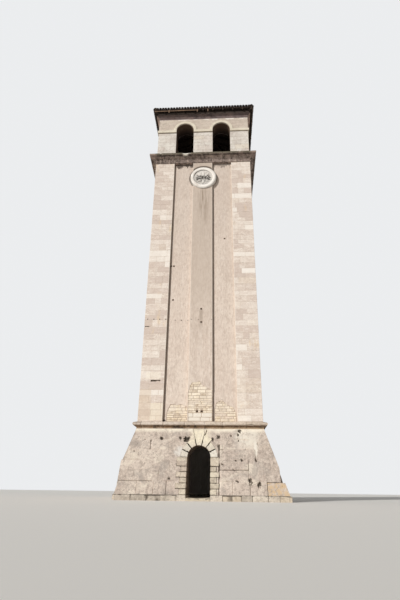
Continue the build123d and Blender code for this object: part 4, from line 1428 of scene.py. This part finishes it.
# Roof timbers: a plate on the cove, rafters with open tails, hip rafters, close boards on top and a thin
# eaves board along the tails. All is old dark softwood; the eaves board has weathered to a light brown.
dark_timber = timber_finish("dark_timber", (0.085, 0.06, 0.045), (0.026, 0.019, 0.016), (1, 0.06, 1))
for node in ("jack_rafters", "hip_rafters", "roof_wall_plate"):
    add_object(node + "_timber", rounded_copy(node, 0.006, 0.003, dark_timber, 40, 1), "dark_timber", node)
roof_pitch = math.radians(20)
roof_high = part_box("roof_tiles_front")[1]
roof_top, roof_reach = roof_high.z, roof_high.x
roof_foot = roof_top - 0.175 - roof_reach * math.tan(roof_pitch)
slope_length = roof_reach / math.cos(roof_pitch)


def slope(turns, pitch=roof_pitch, reach=roof_reach, foot=roof_foot):
    """Lays out a slope: u along its foot, v up it from there, and lift above the underside of its tiles."""
    def place(u, v, lift):
        out = reach - v * math.cos(pitch) + lift * math.sin(pitch)
        return turned(turns) @ Vector((u, -out, foot + v * math.sin(pitch) + lift * math.cos(pitch)))
    return place


box_faces = ((0, 1, 3, 2), (4, 6, 7, 5), (0, 4, 5, 1), (2, 3, 7, 6), (0, 2, 6, 4), (1, 5, 7, 3))
plank_rng = random.Random(71)
planks = []
for turns in range(4):
    v = 0.035
    while v < slope_length - 0.05:
        end = min(v + plank_rng.uniform(0.15, 0.21), slope_length - 0.01)
        lift = plank_rng.uniform(-0.003, 0)
        corners = []
        for low in (lift - 0.0285, lift):
            for at in (v + 0.003, end - 0.003):
                half = (slope_length - at) * math.cos(roof_pitch)
                corners += [slope(turns)(-half, at, low), slope(turns)(half, at, low)]
        planks.append((corners, box_faces, ("plank", turns, round(v, 3))))
        v = end
add_object("roof_planks", joined_mesh("roof_planks", planks, [dark_timber]), "dark_timber", "roof_boards")

eaves_timber = timber_finish("eaves_timber", (0.34, 0.22, 0.14), (0.17, 0.11, 0.075), (0.06, 1, 1))
low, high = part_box("jack_rafters")
tail_face, tail_foot = -high.x, low.z
eaves_boards = []
for turns in range(4):
    for x0, x1 in ((-3.56, -2.1), (-2.095, -0.35)):
        near, far = (x0, tail_face - 0.024, tail_foot), (x1, tail_face - 0.001, tail_foot + 0.055)
        eaves_boards.append((near, far, turns))
for x in (-2.5, -0.43, 0.35):
    near = (x - 0.03, tail_face - 0.045, tail_foot - 0.16)
    far = (x + 0.03, tail_face - 0.025, tail_foot + 0.09)
    eaves_boards.append((near, far, 0))
mesh = lay_stones("eaves_boards", eaves_boards, 0.003, 0.001, 72, [eaves_timber])
add_object("eaves_boards", mesh, "dark_timber")

plate_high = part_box("roof_wall_plate")[1]
closing_half = plate_high.x - 0.06
closing_top = slope(0)(0, (roof_reach - closing_half) / math.cos(roof_pitch), -0.030).z
near, far = (-closing_half, -closing_half, plate_high.z), (closing_half, -closing_half + 0.025, closing_top)
closing_boards = [(near, far, turns) for turns in range(4)]
mesh = lay_stones("closing_boards", closing_boards, 0.003, 0.001, 73, [dark_timber])
add_object("closing_boards", mesh, "dark_timber")


# Roof covering: round clay tiles, one row hollow side up and one row over each joint, laid dry up every
# slope and cut at the hips. Larger ridge tiles in mortar cover the hips and a mortar cap closes the top.
def clay(mix):
    """Lichen in spots, and the tiles painted darker along the eaves."""
    lichen = mix.cells(9, (2, 5, 1)).band(0.3, 0.1) * mix.cloud(1.1, 3).band(0.5, 0.6)
    mix.paint((0.42, 0.38, 0.27), lichen * 0.6)
    out = mix.off_axis("MAXIMUM") - roof_reach
    mix.paint((0.028, 0.026, 0.025), out.band(-0.10, -0.04, 0, 0.8))


clay_tile = stone_finish("clay_tile", (0.27, 0.15, 0.095), (0.155, 0.092, 0.066), (0.06, 0.042, 0.036),
                         pits=0.1, grime=0.7, spread=0.7, stain=(0.03, 0.026, 0.022), extra=clay,
                         grain=0.002)
bed_mortar = stone_finish("bed_mortar", (0.42, 0.37, 0.31), (0.33, 0.29, 0.24), (0.18, 0.15, 0.12),
                          grime=0.5, spread=0)


def tile_shell(place, lower, upper, centre, rise, up, bend, thick=0.014, parts=7):
    """Corners and faces of one round tile from its lower to its upper end, given as (v, lift, width)."""
    corners = []
    for v, lift, width in (lower, upper):
        for skin in (0, thick):
            for part in range(parts + 1):
                turn = math.pi * part / parts
                u = centre + math.cos(turn) * (width / 2 - skin) + bend * (v - lower[0])
                height = math.sin(turn) * (rise - skin)
                corners.append(place(u, v, lift + (height if up else rise - height)))
    n = parts + 1
    faces = [(0, 2 * n, 3 * n, n), (n - 1, 2 * n - 1, 4 * n - 1, 3 * n - 1)]
    for i in range(parts):
        faces += [(i, i + 1, 2 * n + i + 1, 2 * n + i), (n + i, 3 * n + i, 3 * n + i + 1, n + i + 1),
                  (i, n + i, n + i + 1, i + 1), (2 * n + i, 2 * n + i + 1, 3 * n + i + 1, 3 * n + i)]
    return corners, faces


tile_rng = random.Random(81)
tile_rows = 36
row_width = 2 * roof_reach / tile_rows
tile_gauge, tile_length, tile_rise = 0.34, 0.42, 0.066
for turns, side in enumerate(side_normals):
    name = "roof_tiles_%s_laid" % side
    tiles = []
    for row in range(2 * tile_rows + 1):
        up = row % 2 == 1
        u = -roof_reach + row / 2 * row_width
        if abs(u) > roof_reach - 0.04:
            continue
        top = (roof_reach - abs(u)) / math.cos(roof_pitch)
        foot_width, head_width = (0.185, 0.15) if up else (0.16, 0.19)
        v = 0.0 if up else 0.02
        while v < top - 0.06:
            centre = u + tile_rng.uniform(-0.006, 0.006)
            start = max(0.0, v + tile_rng.uniform(-0.012, 0.012))
            end = min(v + tile_length, top)
            lift = (0.062 if up else 0.012) + (0.010 if v < 0.1 else 0)
            lower, upper = (start, lift + 0.016, foot_width), (end, lift, head_width)
            bend = tile_rng.uniform(-0.02, 0.02)
            shell = tile_shell(slope(turns), lower, upper, centre, tile_rise, up, bend)
            tiles.append((*shell, (name, len(tiles))))
            v += tile_gauge
    add_object(name, joined_mesh(name, tiles, [clay_tile]), "clay_tile", "roof_tiles_" + side)

hip_fall = math.atan(math.tan(roof_pitch) / math.sqrt(2))
hip_reach = roof_reach * math.sqrt(2)
hip_length = hip_reach / math.cos(hip_fall)
bed_outline = ((-0.115, -0.06), (-0.07, 0.02), (0, 0.055), (0.07, 0.02), (0.115, -0.06), (0, -0.05))
bed_faces = [(i, (i + 1) % 6, (i + 1) % 6 + 6, i + 6) for i in range(6)]
bed_faces += [(0, 5, 4, 3, 2, 1), (6, 7, 8, 9, 10, 11)]
hip_tiles, beds = [], []
for turns in range(4):
    on_hip = slope(turns + 1.5, hip_fall, hip_reach, roof_top - hip_length * math.sin(hip_fall))
    v = 0.14
    while v < hip_length - 0.1:
        lower, upper = (v, -0.006, 0.22), (min(v + 0.44, hip_length), -0.022, 0.19)
        centre = tile_rng.uniform(-0.004, 0.004)
        bend = tile_rng.uniform(-0.01, 0.01)
        hip_tiles.append(tile_shell(on_hip, lower, upper, centre, 0.098, True, bend, 0.016, 9))
        v += 0.36
    beds.append(([on_hip(u, v, lift) for v in (0.10, hip_length) for u, lift in bed_outline], bed_faces))
cap = [(0.0, 0.0, roof_top + 0.085)]
for radius, height in ((0.10, 0.07), (0.19, 0.02), (0.24, -0.09)):
    for step in range(12):
        turn = 2 * math.pi * step / 12
        uneven = radius * (1 + 0.08 * noise.noise((math.cos(turn) * 2, math.sin(turn) * 2, radius * 9)))
        cap.append((uneven * math.cos(turn), uneven * math.sin(turn), roof_top + height))
cap_faces = [(0, 1 + step, 1 + (step + 1) % 12) for step in range(12)]
for ring in (1, 13):
    for step in range(12):
        after = (step + 1) % 12
        cap_faces.append((ring + step, ring + 12 + step, ring + 12 + after, ring + after))
beds.append((cap, cap_faces + [tuple(range(25, 37))]))
parts = [(*part, ("hip_tiles_laid", number)) for number, part in enumerate(hip_tiles + beds)]
mesh = joined_mesh("hip_tiles_laid", parts, [clay_tile, bed_mortar])
for face in mesh.polygons[sum(len(faces) for corners, faces in hip_tiles):]:
    face.material_index = 1
add_object("hip_tiles_laid", mesh, "clay_tile", "hip_tiles")
